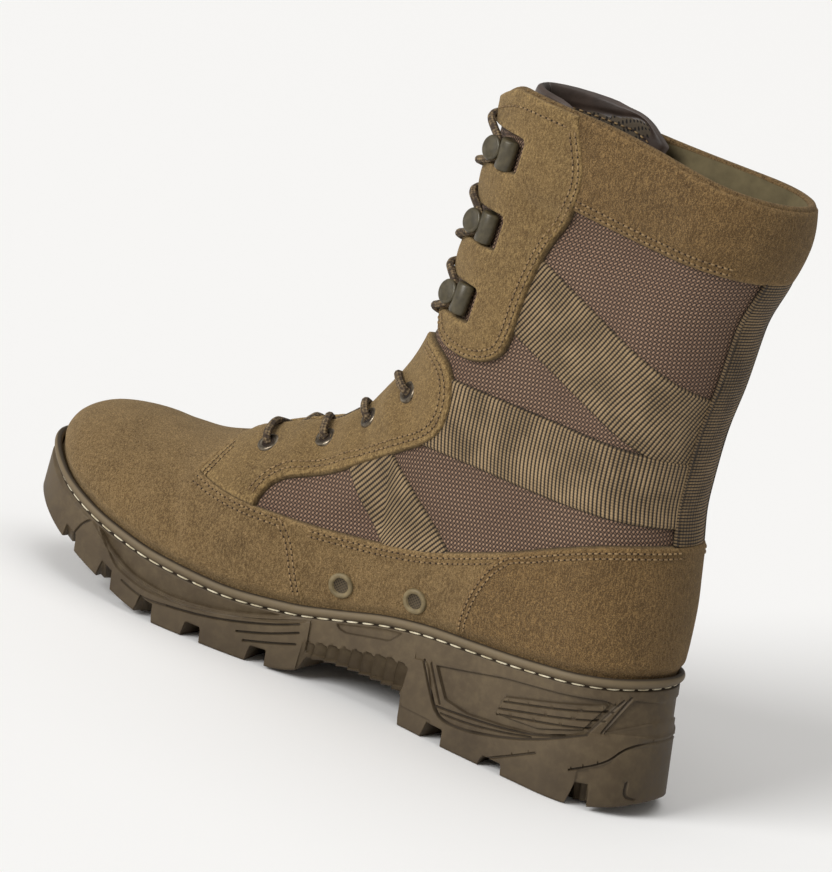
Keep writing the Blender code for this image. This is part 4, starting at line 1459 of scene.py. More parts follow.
@dataclass
class Sheet:
    """Fine sheet over the whole upper, both sides joined at the ridge and at the back."""

    last: LastForm
    row_count: int = 400
    column_count: int = 104
    patch: Patch = field(init=False)
    grid: Array = field(init=False)
    unrolled: tuple[Array, Array] = field(init=False)

    def __post_init__(self) -> None:
        """Work out the sheet's points, normals and distances to its free edges."""
        rows = self.last.rows(self.row_count)
        lines = {side: np.array([self.last.section(side, u, self.column_count) for u in rows])
                 for side in Side}
        opening = self.last.ridge_at(rows)[2]
        size = (len(rows), self.column_count + 1)
        first = np.arange(size[0] * size[1]).reshape(size)
        second = first + first.size
        second[opening == 0.0, -1] = first[opening == 0.0, -1]
        second[rows >= CORNER, 0] = first[rows >= CORNER, 0]
        points = np.concatenate([lines[side].reshape(-1, 3) for side in Side])
        sign = np.repeat([1.0, -1.0], first.size)
        rims = np.concatenate([self._rim(lines[side], opening).ravel() for side in Side])
        tris = whole_tris(points, np.concatenate([grid_tris(first), grid_tris(second)[:, ::-1]]))
        normals = vertex_normals(points, tris)
        spots = points[:, [0, 2]].copy()
        points = points - normals * self.last.crease(spots)[:, None]
        carried = np.stack([rims, sign], axis=1)
        self.patch = Patch(points, vertex_normals(points, tris), spots, carried, tris, np.zeros(len(points)))
        self.grid = np.stack([first, second])
        self.unrolled = self._unroll()

    @staticmethod
    def _rim(lines: Array, opening: Array) -> Array:
        """Distance of each point to the throat's edge or the collar's.

        Args:
            lines: Lines of one side.
            opening: Half opening of the throat at each.

        Returns:
            The distances.
        """
        along = np.linalg.norm(np.diff(lines, axis=1), axis=2)
        left = np.cumsum(along[:, ::-1], axis=1)[:, ::-1]
        to_end = np.concatenate([left, np.zeros((len(lines), 1))], axis=1)
        to_end[opening == 0.0] = np.inf
        up = np.linalg.norm(np.diff(lines, axis=0), axis=2)
        to_top = np.concatenate([np.cumsum(up[::-1], axis=0)[::-1], np.zeros((1, lines.shape[1]))], axis=0)
        return np.minimum(np.minimum(to_end, to_top), RIM_LIMIT)

    def _unroll(self) -> tuple[Array, Array]:
        """Places along the boot and their lengths along the curved side.

        Returns:
            The places and the lengths.
        """
        x = np.linspace(19.7, 147.0, 300)
        line = self.last.surface(Side.MEDIAL, x, np.full_like(x, 150.0))
        return x, lengths(line)

    def weave_uv(self, spots: Array, angle: float) -> Array:
        """Surface coordinates in millimetres, turned by an angle in degrees.

        Args:
            spots: Side-view points, one a row.
            angle: Turn of the weave.

        Returns:
            The coordinates, one pair a point.
        """
        x, length = self.unrolled
        back = self.last.back_line
        place = spots[:, 0] - np.interp(spots[:, 1], back[:, 1], back[:, 0]) + x[0]
        along = np.where(place > x[-1], length[-1] + place - x[-1], np.interp(place, x, length))
        turn = math.radians(angle)
        u = along * math.cos(turn) + spots[:, 1] * math.sin(turn)
        v = -along * math.sin(turn) + spots[:, 1] * math.cos(turn)
        return np.stack([u, v], axis=1)


@dataclass
class Shell:
    """The upper's woven wall with its lining."""

    finishes: Wardrobe
    sheet: Sheet
    wall: float = 2.0
    weave_angle: float = 33.0

    def build(self) -> Piece:
        """Make the wall from every second row and column of the sheet.

        Returns:
            The wall.
        """
        patch = self.sheet.patch
        tris = []
        for index, turn in zip(self.sheet.grid, (1, -1)):
            tris.append(grid_tris(index[::2, ::2])[:, ::turn])
        tris = whole_tris(patch.points, np.concatenate(tris))
        used, index = np.unique(tris, return_inverse=True)
        uv = self.sheet.weave_uv(patch.spots[used], self.weave_angle)
        faces = index.reshape(-1, 3).tolist()
        shell = make_object("upper_shell", patch.points[used], faces, self.finishes["nylon"], uv)
        shell.data.materials.append(self.finishes["lining"])
        wall = shell.modifiers.new("wall", "SOLIDIFY")
        wall.thickness = self.wall * MM
        wall.offset = -1.0
        wall.material_offset = 1
        return hand_over(shell, "nylon", "upper")


@dataclass
class Panel:
    """One piece of suede or webbing sewn on the upper."""

    name: str
    slot: str
    nodes: tuple[str, ...]
    field: Shape
    sides: tuple[Side, ...] = BOTH
    lift: float = 0.3
    thick: float = 1.3
    edge: float = 1.0
    pad: float = 0.0
    pad_reach: float = 9.0
    weave_angle: float | None = None
    across_back: bool = False
    skirt: float = 0.8
    skirt_depth: float = 0.3
    sunk: float = 0.4
    sunk_reach: float = 6.0

    def height(self, edge: Array, spots: Array) -> Array:
        """Height over the upper at a distance from the edge.

        Args:
            edge: Distances from the edge.
            spots: Side-view points, one a row.

        Returns:
            The heights.
        """
        crown = self.thick * ellipse(edge / self.edge) + self.pad * (1 - np.exp(-edge / self.pad_reach))
        above = ease((spots[:, 1] - bead_z(spots[:, 0]) + 1.0) / self.sunk_reach)
        return self.sunk + (self.lift + crown - self.sunk) * above

    def cut(self, sheet: Sheet) -> Patch:
        """Cut the panel out of the sheet.

        Args:
            sheet: The upper's sheet.

        Returns:
            The panel's own sheet.
        """
        patch = sheet.patch
        wanted = np.zeros(len(patch.points), bool)
        for side in self.sides:
            wanted |= patch.side == side.value
        level = np.full(len(patch.points), FAR)
        level[wanted] = self.field(patch.spots[wanted], patch.points[wanted])
        tris = patch.tris[(level[patch.tris] < 0).any(axis=1) & wanted[patch.tris].all(axis=1)]
        if len(self.sides) == 2:
            tris = patch.tris[(level[patch.tris] < 0).any(axis=1)]
        piece = replace(patch, tris=tris, level=level).compact().split(0.0, True)
        for share in (0.3, 1.0):
            piece = piece.split(-share * self.edge, False)
        return piece

    def build(self, sheet: Sheet, material: Material) -> Piece:
        """Make the panel's mesh, with a skirt down to the upper, flared out and painted dark as shadow under
        the edge.

        Args:
            sheet: The upper's sheet.
            material: Finish of the whole piece.

        Returns:
            The panel.
        """
        piece = self.cut(sheet)
        edge = np.minimum(-piece.level, piece.rim)
        high = piece.points + piece.normals * self.height(edge, piece.spots)[:, None]
        border = border_edges(piece.tris)
        rim, index = np.unique(border, return_inverse=True)
        # The skirt is the panel's cut side, flared out onto the upper so that its dark paint stands for the
        # shadow under the edge.
        low = piece.points - piece.normals * self.skirt_depth + self._outward(piece, border) * self.skirt
        index = index.reshape(-1, 2) + len(high)
        skirt = np.stack([border[:, 1], border[:, 0], index[:, 0], index[:, 1]], axis=1)
        faces = piece.tris.tolist() + skirt.tolist()
        points = np.concatenate([high, low[rim]])
        # Skirt vertices get an edge of -1, which the finishes paint dark: painted shadow.
        edges = np.concatenate([edge, np.full(len(rim), -1.0)])
        spots = np.concatenate([piece.spots, piece.spots[rim]])
        uv = sheet.weave_uv(spots, self.weave_angle or 0.0)
        if self.across_back:
            uv = np.stack([points[:, 2], points[:, 1]], axis=1)
        made = make_object(f"{self.name}_{self.slot}", points, faces, material, uv, {"edge": edges})
        return hand_over(made, self.slot, *self.nodes)

    @staticmethod
    def _outward(piece: Patch, border: Array) -> Array:
        """Directions away from the panel at its cut edges, and nothing elsewhere.

        Args:
            piece: The panel's sheet.
            border: Its border edges.

        Returns:
            The directions, one a vertex.
        """
        run = piece.points[border[:, 1]] - piece.points[border[:, 0]]
        away = np.zeros_like(piece.points)
        for k in range(2):
            np.add.at(away, border[:, k], np.cross(run, piece.normals[border[:, k]]))
        return unit(away) * (np.abs(piece.level) < 0.05)[:, None]


def outlined(*lines: Array | Points) -> Shape:
    """Field of a closed outline put together from lines.

    Args:
        lines: Lines that follow one another.

    Returns:
        The field.
    """
    outline = np.concatenate([np.asarray(line, float) for line in lines])

    def field_of(spots: Array, points: Array) -> Array:
        """Signed distance, exact near the outline and large far from it.

        Args:
            spots: Side-view points, one a row.
            points: The same points of the upper; not used.

        Returns:
            The level at each point, negative inside.
        """
        low, high = outline.min(axis=0) - NEAR, outline.max(axis=0) + NEAR
        near = ((spots > low) & (spots < high)).all(axis=1)
        level = np.full(len(spots), FAR)
        level[near] = outline_field(spots[near], outline)
        return level
    return field_of


def notched(base: Shape, notches: Sequence[tuple[float, float, float, float]],
            corner: float = 2.0) -> Shape:
    """Take rounded slots out of a field: each has a back, a front, a middle height and a half height.

    Args:
        base: The field.
        notches: Back, front, middle height and half height of each slot.
        corner: Radius of their corners.

    Returns:
        The field with slots.
    """
    def field_of(spots: Array, points: Array) -> Array:
        """Signed distance with the slots cut out.

        Args:
            spots: Side-view points, one a row.
            points: The same points of the upper.

        Returns:
            The level at each point, negative inside.
        """
        level = base(spots, points)
        for back, front, middle, half in notches:
            across = np.abs(spots[:, 0] - (back + front) / 2) - (front - back) / 2 + corner
            up = np.abs(spots[:, 1] - middle) - half + corner
            outside = np.hypot(np.maximum(across, 0), np.maximum(up, 0))
            gap = outside + np.minimum(np.maximum(across, up), 0) - corner
            level = np.maximum(level, -gap)
        return level
    return field_of


def back_strap_field(spots: Array, points: Array) -> Array:
    """Field of the webbing up the back seam, bounded by its width and its ends.

    Args:
        spots: Side-view points, one a row; not used.
        points: Points in millimetres.

    Returns:
        The level at each point, negative inside.
    """
    half, low, high, front = 12.0, 112.0, 231.0, 60.0
    parts = (np.abs(points[:, 1]) - half, low - points[:, 2], points[:, 2] - high, points[:, 0] - front)
    return np.maximum.reduce(parts)


@dataclass
class Upper:
    """All the panels of the upper, from the lowest layer to the highest."""

    finishes: Wardrobe
    sheet: Sheet
    panels: dict[str, Panel] = field(default_factory=dict)

    def plan(self) -> None:
        """Lay out the panels of both sides."""
        floor = ((330.0, 110.0), (330.0, 12.0), (159.6, 12.0))
        vamp = outlined(VAMP_REAR, VAMP_TOP, STAY_FRONT, floor)
        self._add(Panel("vamp", "suede", ("vamp",), vamp, lift=1.2, edge=1.2))
        counter = outlined(COUNTER_TOP, ((-10.0, 20.0), (90.5, 20.0)), COUNTER_FRONT)
        self._add(Panel("heel_counter", "suede", ("heel_counter",), counter, lift=1.3, edge=1.2))
        collar = outlined(COLLAR_LOW, COLLAR_FRONT, ((-10.0, 290.0),))
        self._add(Panel("collar_band", "suede", ("collar_band",), collar, lift=0.7, edge=1.6, pad=1.6))
        self._add(Panel("back_strap", "webbing", ("back_strap",), back_strap_field, lift=0.7, thick=1.1,
                        across_back=True))
        slots = [(back, 170.0, middle, 7.6) for back, middle in HOOK_SLOTS]
        vamp_front = VAMP_TOP[::-1][:len(VAMP_TOP) // 3 * 2]
        for side in Side:
            word = side.name.lower()
            quarter = outlined(QUARTER_TOP, ((66.0, 20.0), (184.0, 20.0)))
            throat = ((216.0, 158.0), (216.0, 110.0))
            low_stay = outlined(vamp_front, LOW_STAY_REAR, throat, STAY_FRONT[::-1])
            up_stay = notched(outlined(UP_STAY_REAR, ((165.0, 172.0), (165.0, 275.0))), slots)
            rows = (
                ("strap_low", "webbing", outlined(LOW_STRAP), 0.3, 0.8, 40.0),
                ("strap_upper", "webbing", outlined(UP_STRAP), 0.3, 0.8, 24.0),
                ("strap_middle", "webbing", outlined(MID_STRAP), 0.6, 0.9, 0.0),
                ("quarter", "suede", quarter, 0.7, 1.3, None),
                ("eyestay_lower", "suede", low_stay, 1.6, 1.4, None),
                ("eyestay_upper", "suede", up_stay, 2.0, 1.5, None),
            )
            for name, slot, shape, lift, thick, angle in rows:
                full = f"{name}_{word}"
                self._add(Panel(full, slot, (full,), shape, (side,), lift, thick, 1.1, weave_angle=angle))

    def _add(self, panel: Panel) -> None:
        """Keep a panel under its name."""
        self.panels[panel.name] = panel

    def build(self) -> None:
        """Make every panel."""
        rough = ("heel_counter", "collar_band")
        for panel in self.panels.values():
            material = self.finishes["webbing"] if panel.slot == "webbing" else self.finishes["suede"]
            if panel.name in rough:
                material = self.finishes["suede_rough"]
            if panel.name.startswith("eyestay"):
                material = self.finishes["suede_gold"]
            if panel.across_back:
                material = self.finishes["back_webbing"]
            panel.build(self.sheet, material)


# Stitching

# Share of a stitch's length, swell of the thread there and its rise, both in radii
STITCH_RINGS = ((0.0, 0.35, -0.5), (0.14, 0.9, 0.15), (0.5, 1.0, 0.35), (0.86, 0.9, 0.15), (1.0, 0.35, -0.5))


class Gauge(NamedTuple):
    """Sizes of a row of stitches."""

    pitch: float = 2.65
    length: float = 1.85
    radius: float = 0.44
    hole: float = 0.56


class Seam(NamedTuple):
    """Rows of stitches along a line, at distances to its left."""

    name: str
    line: Array
    panel: str
    offsets: tuple[float, ...]
    sides: tuple[Side, ...] = BOTH


def along_line(values: Array, length: Array, at: float) -> Array:
    """Value at a length along a line of rows."""
    return np.array([np.interp(at, length, values[:, k]) for k in range(values.shape[1])])


def sew(points: Array, normals: Array, gauge: Gauge, thread: Builder, holes: Builder) -> None:
    """Lay stitches along a row.

    Args:
        points: Points of the row on the surface.
        normals: Outward directions there.
        gauge: Sizes of the stitches.
        thread: Where the stitches go.
        holes: Where the dark discs of painted shade at the needle holes go.
    """
    length = lengths(points)
    for k in range(int(length[-1] / gauge.pitch)):
        middle = (k + 0.5 + 0.08 * math.sin(5.3 * k)) * gauge.pitch
        start, end, hole = (along_line(points, length, middle + shift) for shift in
                            (-gauge.length / 2, gauge.length / 2, gauge.pitch / 2))
        normal = unit(along_line(normals, length, middle))
        lay_stitch(thread, start, end, normal, gauge.radius)
        lay_disc(holes, hole + normal * 0.02, end - start, normal, gauge.hole)


def lay_stitch(builder: Builder, start: Array, end: Array, normal: Array, radius: float,
               around: int = 6) -> None:
    """Add one stitch: a short thread that arches between two holes.

    Args:
        builder: Where the shape goes.
        start: Where it comes up.
        end: Where it goes down.
        normal: Outward direction.
        radius: Radius of the thread.
        around: Vertices round it.
    """
    along = end - start
    angles = np.linspace(0.0, 2 * math.pi, around, endpoint=False)
    ring = arc(angles, unit(np.cross(normal, along)), normal * 0.8)
    rings = [start + along * share + normal * rise * radius + ring * radius * swell
             for share, swell, rise in STITCH_RINGS]
    builder.add(np.concatenate(rings), capped_faces(len(rings), around))


def lay_disc(builder: Builder, centre: Array, along: Array, normal: Array, radius: float) -> None:
    """Add one small domed disc, painted dark as the shade in a needle hole.

    Args:
        builder: Where the shape goes.
        centre: Its middle.
        along: Direction of its first corner.
        normal: Outward direction.
        radius: Its radius.
    """
    along = unit(along)
    sides = 6
    angles = np.linspace(0.0, 2 * math.pi, sides, endpoint=False)
    ring = centre + arc(angles, along, np.cross(normal, along)) * radius - normal * 0.15
    faces = [(k, (k + 1) % sides, sides) for k in range(sides)]
    builder.add(np.vstack([ring, centre + normal * 0.05]), faces)


@dataclass
class Stitching:
    """Rows of thread sewn through the panels, with dark discs of painted shade at their needle holes."""

    finishes: Wardrobe
    last: LastForm
    upper: Upper
    gauge: Gauge = Gauge()
    proud: float = 0.1

    def seams(self) -> list[Seam]:
        """The seams of the upper.

        Returns:
            The seams, from the toe to the collar.
        """
        return [
            Seam("vamp_rear", VAMP_REAR[6:], "vamp", (-2.2, -4.2)),
            Seam("vamp_top", VAMP_TOP, "vamp", (-2.0, -4.2)),
            Seam("stay_front", STAY_FRONT[:-4], "eyestay_lower_{side}", (2.2, 4.2)),
            Seam("stay_rear", LOW_STAY_REAR[2:-2], "eyestay_lower_{side}", (-2.6, -4.8)),
            Seam("quarter_top", QUARTER_TOP[3:-3], "quarter_{side}", (2.2, 4.4)),
            Seam("counter_top", COUNTER_TOP, "heel_counter", (2.2, 4.4)),
            Seam("counter_front", COUNTER_FRONT[6:], "heel_counter", (2.2, 4.4)),
            Seam("collar_low", COLLAR_LOW[2:-2], "collar_band", (2.0, 4.6)),
            Seam("up_stay", UP_STAY_REAR[4:-5], "eyestay_upper_{side}", (1.6, 4.0)),
            Seam("up_stay_top", UP_STAY_TOP, "eyestay_upper_medial", (-5.0,), (Side.MEDIAL,)),
            Seam("up_stay_far_top", UP_STAY_FAR_TOP, "eyestay_upper_lateral", (-5.0,), (Side.LATERAL,)),
        ]

    def spots(self, seam: Seam, offset: float) -> Array:
        """Line of a row, moved to the side of its seam."""
        line = even(seam.line, max(int(line_length(seam.line) / 1.5), 4))
        return line + left_of(np.gradient(line, axis=0)) * offset

    def row(self, seam: Seam, side: Side, offset: float) -> tuple[Array, Array]:
        """Points and normals of a row on the panel's face.

        Args:
            seam: The seam.
            side: Side of the boot.
            offset: Distance to its left.

        Returns:
            The points and the normals.
        """
        panel = self.upper.panels[seam.panel.format(side=side.name.lower())]
        spots = self.spots(seam, offset)
        back = self.last.back_line
        spots = spots[spots[:, 0] > np.interp(spots[:, 1], back[:, 1], back[:, 0]) + 0.3]
        points, normals = self.last.frames(side, spots)
        height = panel.height(np.full(len(spots), abs(offset)), spots)
        return points + normals * (height + self.proud)[:, None], normals

    def build(self) -> None:
        """Make one object of thread and one of holes for each seam."""
        for seam in self.seams():
            thread, holes = Builder(), Builder()
            for side in seam.sides:
                for offset in seam.offsets:
                    sew(*self.row(seam, side, offset), self.gauge, thread, holes)
            hand_over(thread.make(f"thread_{seam.name}", self.finishes["thread"]), "suede")
            hand_over(holes.make(f"holes_{seam.name}", self.finishes["needle_hole"]), "suede")


# The sole

class Notch(NamedTuple):
    """A gap between two lugs."""

    x: float
    width: float
    depth: float
    slant: float


class Groove(NamedTuple):
    """A moulded line of the wall in side view: sunken, or raised where its depth is negative."""

    line: Points
    depth: float = 1.0
    width: float = 0.3


class Block(NamedTuple):
    """A sunken field of the wall in side view, or a raised one where its depth is negative."""

    outline: Points
    depth: float


PROUD_TOP = table(
    HeightRow,
    (6.5, 34), (12, 33), (20.3, 30.8), (28.5, 26.8),
    (40.8, 20.8), (54.3, 16), (69.8, 12), (82.7, 11.2),
    (88.4, 14.4), (98.9, 30.8), (104, 30), (106, 15),
    (152.5, 13), (154.5, 27.5), (157, 24.8), (166.5, 21.6),
    (185.8, 16.8), (206.3, 13.2), (224.9, 12.4), (242.7, 15.6),
    (254.1, 24.8), (263, 34), (280, 40), (307.5, 50),
)
PANEL_LOW = table(
    HeightRow,
    (152.8, 29.6), (178.2, 20.4), (198.6, 16), (216.2, 14.4),
    (233.5, 16), (247.7, 21.2), (261.4, 30.8),
)


@dataclass
class Sole:
    """Cup sole: bead, stitched channel, moulded wall, lugs and tread."""

    finishes: Wardrobe
    last: LastForm
    columns: int = 900
    rim: float = 3.5
    wall_out: float = 2.7
    proud: float = 1.0
    bead_radius: float = 2.1
    channel: float = 4.9
    wall_start: float = 5.8
    upper_rows: int = 19
    lower_rows: int = 11
    notch_room: float = 10.0
    sharp_angle: float = 40.0
    tread_columns: int = 24
    notch_reach: float = 24.0
    flare: float = 8.5
    flare_length: float = 45.0
    arch_back: float = 106.0
    arch_front: float = 155.0
    arch_low: float = 17.7
    arch_top: float = 26.0
    arch_slope: float = 0.213
    arch_ribs: int = 9
    pleat_step: float = 0.07
    edge_round: float = 1.2
    panel_depth: float = 1.5
    proud_edge: float = 0.3
    panel_edge: float = 0.4
    block_edge: float = 0.25
    groove_flat: float = 0.1
    groove_edge: float = 0.35
    roof_slope: float = 2.4
    roof_share: float = 0.3
    scoop_least: float = 0.2
    scoop_depth: float = 4.2
    scoop_power: float = 0.8
    under_depth: float = 1.8
    bead_middle: float = 2.35
    bead_half: float = 1.65
    channel_depth: float = 1.1
    channel_half: float = 0.42
    cup_rows: Points = ((7.0, 0.7), (1.7, 0.7))
    notch_edge: float = 0.5
    notch_fade: float = 3.0
    notch_behind: float = 9.0
    chevron: float = 12.0
    chevron_depth: float = 1.6
    chevron_half: float = 22.0
    chevron_fade: float = 3.0
    thread_in: float = 0.75
    gauge: Gauge = Gauge(pitch=7.2, length=5.6, radius=0.45, hole=0.6)
    notches: tuple[Notch, ...] = table(
        Notch,
        (20, 5.5, 9.5, 38), (56, 10, 4.5, 8), (85.5, 9.5, 7, 0),
        (173, 8, 7, -6), (202.5, 8, 6.6, -8), (226, 8, 7.6, -14),
        (249, 7, 7.6, -24), (272, 6.5, 6.5, -40),
    )
    blocks: tuple[Block, ...] = (
        Block(((145, 31), (141.5, 27.8), (138, 27.4), (118, 32), (113, 37.6)), 0.9),
        Block(((93.3, 31.2), (62, 38.8), (34, 43.2), (18.1, 46), (14, 45), (20.4, 31.2), (28.5, 26.4),
               (41.5, 22.4), (55.7, 20), (73.3, 18), (84.8, 19.6)), 1.5),
        Block(((61.3, 23.2), (59.2, 31.6), (16, 44.5), (22.4, 31.6), (40.8, 25)), 0.35),
        Block(((9.2, 48.4), (2.4, 48.4), (1.2, 40.4), (8.5, 36), (14.8, 32.6)), 1.1),
        Block(((88, -3), (88, 8.6), (104.5, 8.6), (104.5, -3)), -0.8),
        Block(((17.6, -3), (19.5, 15), (10.7, 21), (6.7, 29), (-9, 33), (-9, -3)), -0.7),
    )
    grooves: tuple[Groove, ...] = (
        Groove(((262.5, 30), (247.7, 19.8), (233.5, 14.6), (216.2, 13), (198.6, 14.6), (178.2, 19),
                (152.8, 28)), -0.6, 0.3),
        Groove(((216.2, 10), (201.4, 11.6), (185.1, 14.8), (169.4, 19.2), (158.3, 23.6))),
        Groove(((183, 11.2), (170, 14.8), (157.6, 20))),
        Groove(((179.3, 8.4), (167.3, 11.6), (157.6, 14.8))),
        Groove(((240, 12), (228, 8.6), (216.2, 10)), 0.7),
        Groove(((87.6, 15.2), (73.3, 16.6), (55.7, 18.8), (41.5, 21.8), (28.5, 26.6)), 0.9),
        Groove(((84.8, 13.2), (71.2, 14.2), (55, 17.2), (42.2, 20.6)), 0.8, 0.25),
        Groove(((58.5, 29.6), (14.1, 42)), 0.8, 0.25),
        Groove(((59.9, 26), (15.8, 37.6)), 0.8, 0.25),
        Groove(((59, 23.6), (19, 33.2)), 0.8, 0.25),
        Groove(((99.5, 31), (88.4, 14), (82.7, 10.6), (69.8, 11.4), (54.3, 15.4), (40.8, 20.2), (28.5, 26.2),
                (20.3, 30.4)), 0.9),
        Groove(((96, 31), (86.6, 16.8)), 0.8),
        Groove(((59.9, 3.6), (47.9, 10), (37.8, 15.6)), 0.7),
        Groove(((22.5, 14.4), (10.7, 21.2), (6.7, 29.2), (0, 32.8), (-6, 33.5)), 1),
        Groove(((12.2, 47.6), (20.3, 30.8)), 0.7),
        Groove(((10.4, 49.4), (15.5, 32.6)), 0.7),
        Groove(((2.7, 14.8), (2, 8.8), (-1, 8)), 1),
        Groove(((262, 31.5), (268, 27), (271, 21)), 0.8),
    )

    def outline(self) -> tuple[Array, Array, Array]:
        """Even points round the feather line, their outward normals and stations along the boot.

        Returns:
            The points, the normals and the stations.
        """
        share = 0.5 + 0.5 * np.cos(np.linspace(0.0, math.pi, 400))
        x = self.last.heel + (self.last.toe - self.last.heel) * share
        medial, lateral = (self.last.surface(side, x, self.last.feather_z(x))[:, :2] for side in Side)
        half = self.columns // 2
        loop = np.concatenate([even(medial, half)[:-1], even(lateral[::-1], half)[:-1]])
        run = np.roll(loop, -1, axis=0) - np.roll(loop, 1, axis=0)
        normal = left_of(run)
        normal *= -1.0 if normal[half // 2, 1] < 0 else 1.0
        return loop, normal, np.clip(loop[:, 0], self.last.heel, self.last.toe)

    def notch_depth(self, plan: Array) -> Array:
        """Height that the gaps between the lugs take from the underside, at plan points.

        Args:
            plan: Plan points, one a row.

        Returns:
            The heights.
        """
        depth = np.zeros(len(plan))
        for row in self.notches:
            places = np.array([row.x, row.x + 1.0])
            for side in Side:
                here, ahead = self.last.surface(side, places, self.last.feather_z(places))[:, :2]
                normal = left_of(ahead - here) * side.value
                slant = math.radians(row.slant) * side.value
                turn = np.array([[math.cos(slant), math.sin(slant)], [-math.sin(slant), math.cos(slant)]])
                turned_way = normal @ turn
                local = plan - (here + normal * self.rim)
                inward = -(local @ turned_way)
                across = np.abs(local @ np.array([-turned_way[1], turned_way[0]]))
                inside = ease((row.width / 2 + self.notch_edge - across) / (2 * self.notch_edge))
                inside = inside * ease((self.notch_reach - inward) / self.notch_fade)
                depth = np.maximum(depth, row.depth * inside * (inward > -self.notch_behind))
        return depth

    def sculpt(self, spots: Array, top: Array) -> tuple[Array, Array]:
        """Depth of the moulded detail of the wall, and painted shade along its sunken lines, block edges and
        pleat gaps.

        Args:
            spots: Side-view points of the wall.
            top: Height of the bead's top above each.

        Returns:
            How far each point is pushed in, negative where it stands out, and the painted shade.
        """
        x, z = spots.T
        over = read(PROUD_TOP, "z", x) - z + self.proud_edge
        depth = -self.proud * np.clip(over / (2 * self.proud_edge), 0.0, 1.0)
        low = read(PANEL_LOW, "z", x)
        inside = (x > PANEL_LOW[0].x) & (x < PANEL_LOW[-1].x) & (z > low)
        start = top - self.wall_start
        fall = np.clip((start - z) / np.maximum(start - low, 1.0), 0.0, 1.0)
        depth = np.where(inside, self.panel_depth * fall * ease((z - low) / self.panel_edge), depth)
        shade = np.zeros(len(spots))
        for block in self.blocks:
            level = outline_field(spots, np.asarray(block.outline, float))
            share = np.clip((self.block_edge - level) / (2 * self.block_edge), 0.0, 1.0)
            depth = depth * (1 - share) + block.depth * share
            shade = np.maximum(shade, 0.5 * ease((0.7 - np.abs(level)) / 0.5))
        lines = np.zeros(len(spots))
        for groove in self.grooves:
            gap = line_distance(spots, soften(groove.line, 2))
            rest = groove.width + self.groove_edge - gap
            cut = groove.depth * np.clip(rest / (self.groove_edge + self.groove_flat), 0.0, 1.0)
            lines = np.where(np.abs(cut) > np.abs(lines), cut, lines)
        scoops, gaps = self.arch(x, z)
        # The second value only darkens the finish: painted shade in the grooves, at block edges and in the
        # pleat gaps.
        return depth + lines + scoops, np.maximum(np.maximum(lines, shade), gaps)

    def pleat(self, x: Array) -> Array:
        """Count of pleats from the front of the arch."""
        return (self.arch_front - x) / (self.arch_front - self.arch_back) * self.arch_ribs

    def arch(self, x: Array, z: Array) -> tuple[Array, Array]:
        """Depth of the scooped ribs under the arch, and the shade of the gaps between them.

        Args:
            x: Places along the boot.
            z: Heights.

        Returns:
            The depths and the shades.
        """
        turn = self.pleat(x)
        share = turn - np.floor(turn)
        crown = np.minimum(self.arch_low + self.arch_slope * (self.arch_front - x), self.arch_top)
        roof = crown - self.roof_slope * np.abs(share - self.roof_share)
        fall = np.minimum(share, (1.0 - share) / self.pleat_step)
        under_roof = ease((roof - z) / 0.6)
        scoop = (self.scoop_least + self.scoop_depth * fall ** self.scoop_power) * under_roof
        under = self.under_depth * ease((crown - 4.0 - z) / 9.0)
        inside = (turn > 0) & (turn < self.arch_ribs)
        gaps = 0.75 * ease((share - 0.72) / 0.25) * under_roof
        scale = 0.4 + 0.6 * ease(turn / 3.0)
        return np.where(inside, (scoop + under) * scale, 0.0), np.where(inside, gaps, 0.0)

    def bead_rows(self) -> Array:
        """Depth below the bead's top and outward place of each ring, from the cup to the channel.

        Returns:
            Depth and place, one pair a ring.
        """
        rows = list(self.cup_rows)
        for turn in np.radians(np.linspace(165.0, -75.0, 15)):
            out = self.bead_middle + self.bead_half * math.cos(turn)
            rows.append((self.bead_radius * (1 - math.sin(turn)), out))
        for below in np.linspace(4.3, self.wall_start, 9):
            sunk = math.exp(-((below - self.channel) / self.channel_half) ** 2)
            rows.append((below, self.wall_out - self.channel_depth * sunk))
        return np.array(rows)

    def build(self) -> None:
        """Make the sole and the thread in its channel."""
        loop, normal, station = self.outline()
        top, ground = bead_z(station), tread_z(station)
        bottom = ground + self.notch_depth(loop + normal * (self.rim + 0.4))
        heel = (1.0 - ease((station - self.last.heel) / self.flare_length)) * np.clip(-normal[:, 0], 0.0, 1.0)
        rolled = self.bead_rows()
        bead = np.broadcast_to(rolled[:, :1], (len(rolled), len(loop)))
        room = np.minimum(self.notch_room, 0.5 * (top - self.wall_start - ground))
        plain = top - self.wall_start - ground - room
        upper = plain * np.linspace(0.0, 1.0, self.upper_rows + 1)[1:, None]
        lower = plain + (ground + room - bottom) * np.linspace(0.0, 1.0, self.lower_rows + 1)[1:, None]
        wall = self.wall_start + np.concatenate([upper, lower])
        below = np.concatenate([bead, wall])
        out = np.concatenate([np.broadcast_to(rolled[:, 1:], bead.shape), np.full(wall.shape, self.wall_out)])
        out = out + self.flare * heel * np.clip((below - 4.2) / (top - ground - 4.2), 0.0, 1.0)
        rings = np.concatenate([loop + normal * out[..., None], (top - below)[..., None]], axis=-1)
        ways = np.broadcast_to(np.column_stack([normal, np.zeros(len(normal))]), rings.shape)
        turn = np.clip(1.2 - np.abs(normal[:, 0]) ** 8, 0.0, 1.0)
        carried = np.stack(np.broadcast_arrays(below, top, bottom, turn), axis=-1)
        self._bead(rings[:len(rolled)], bead)
        edge = self._wall(*(part[len(rolled) - 1:] for part in (rings, ways, carried)))
        points, faces = self._underside(rings[0], edge)
        hand_over(make_object("outsole_tread", points, faces, self.finishes["rubber"]), "rubber")
        self._thread(loop, normal, top)

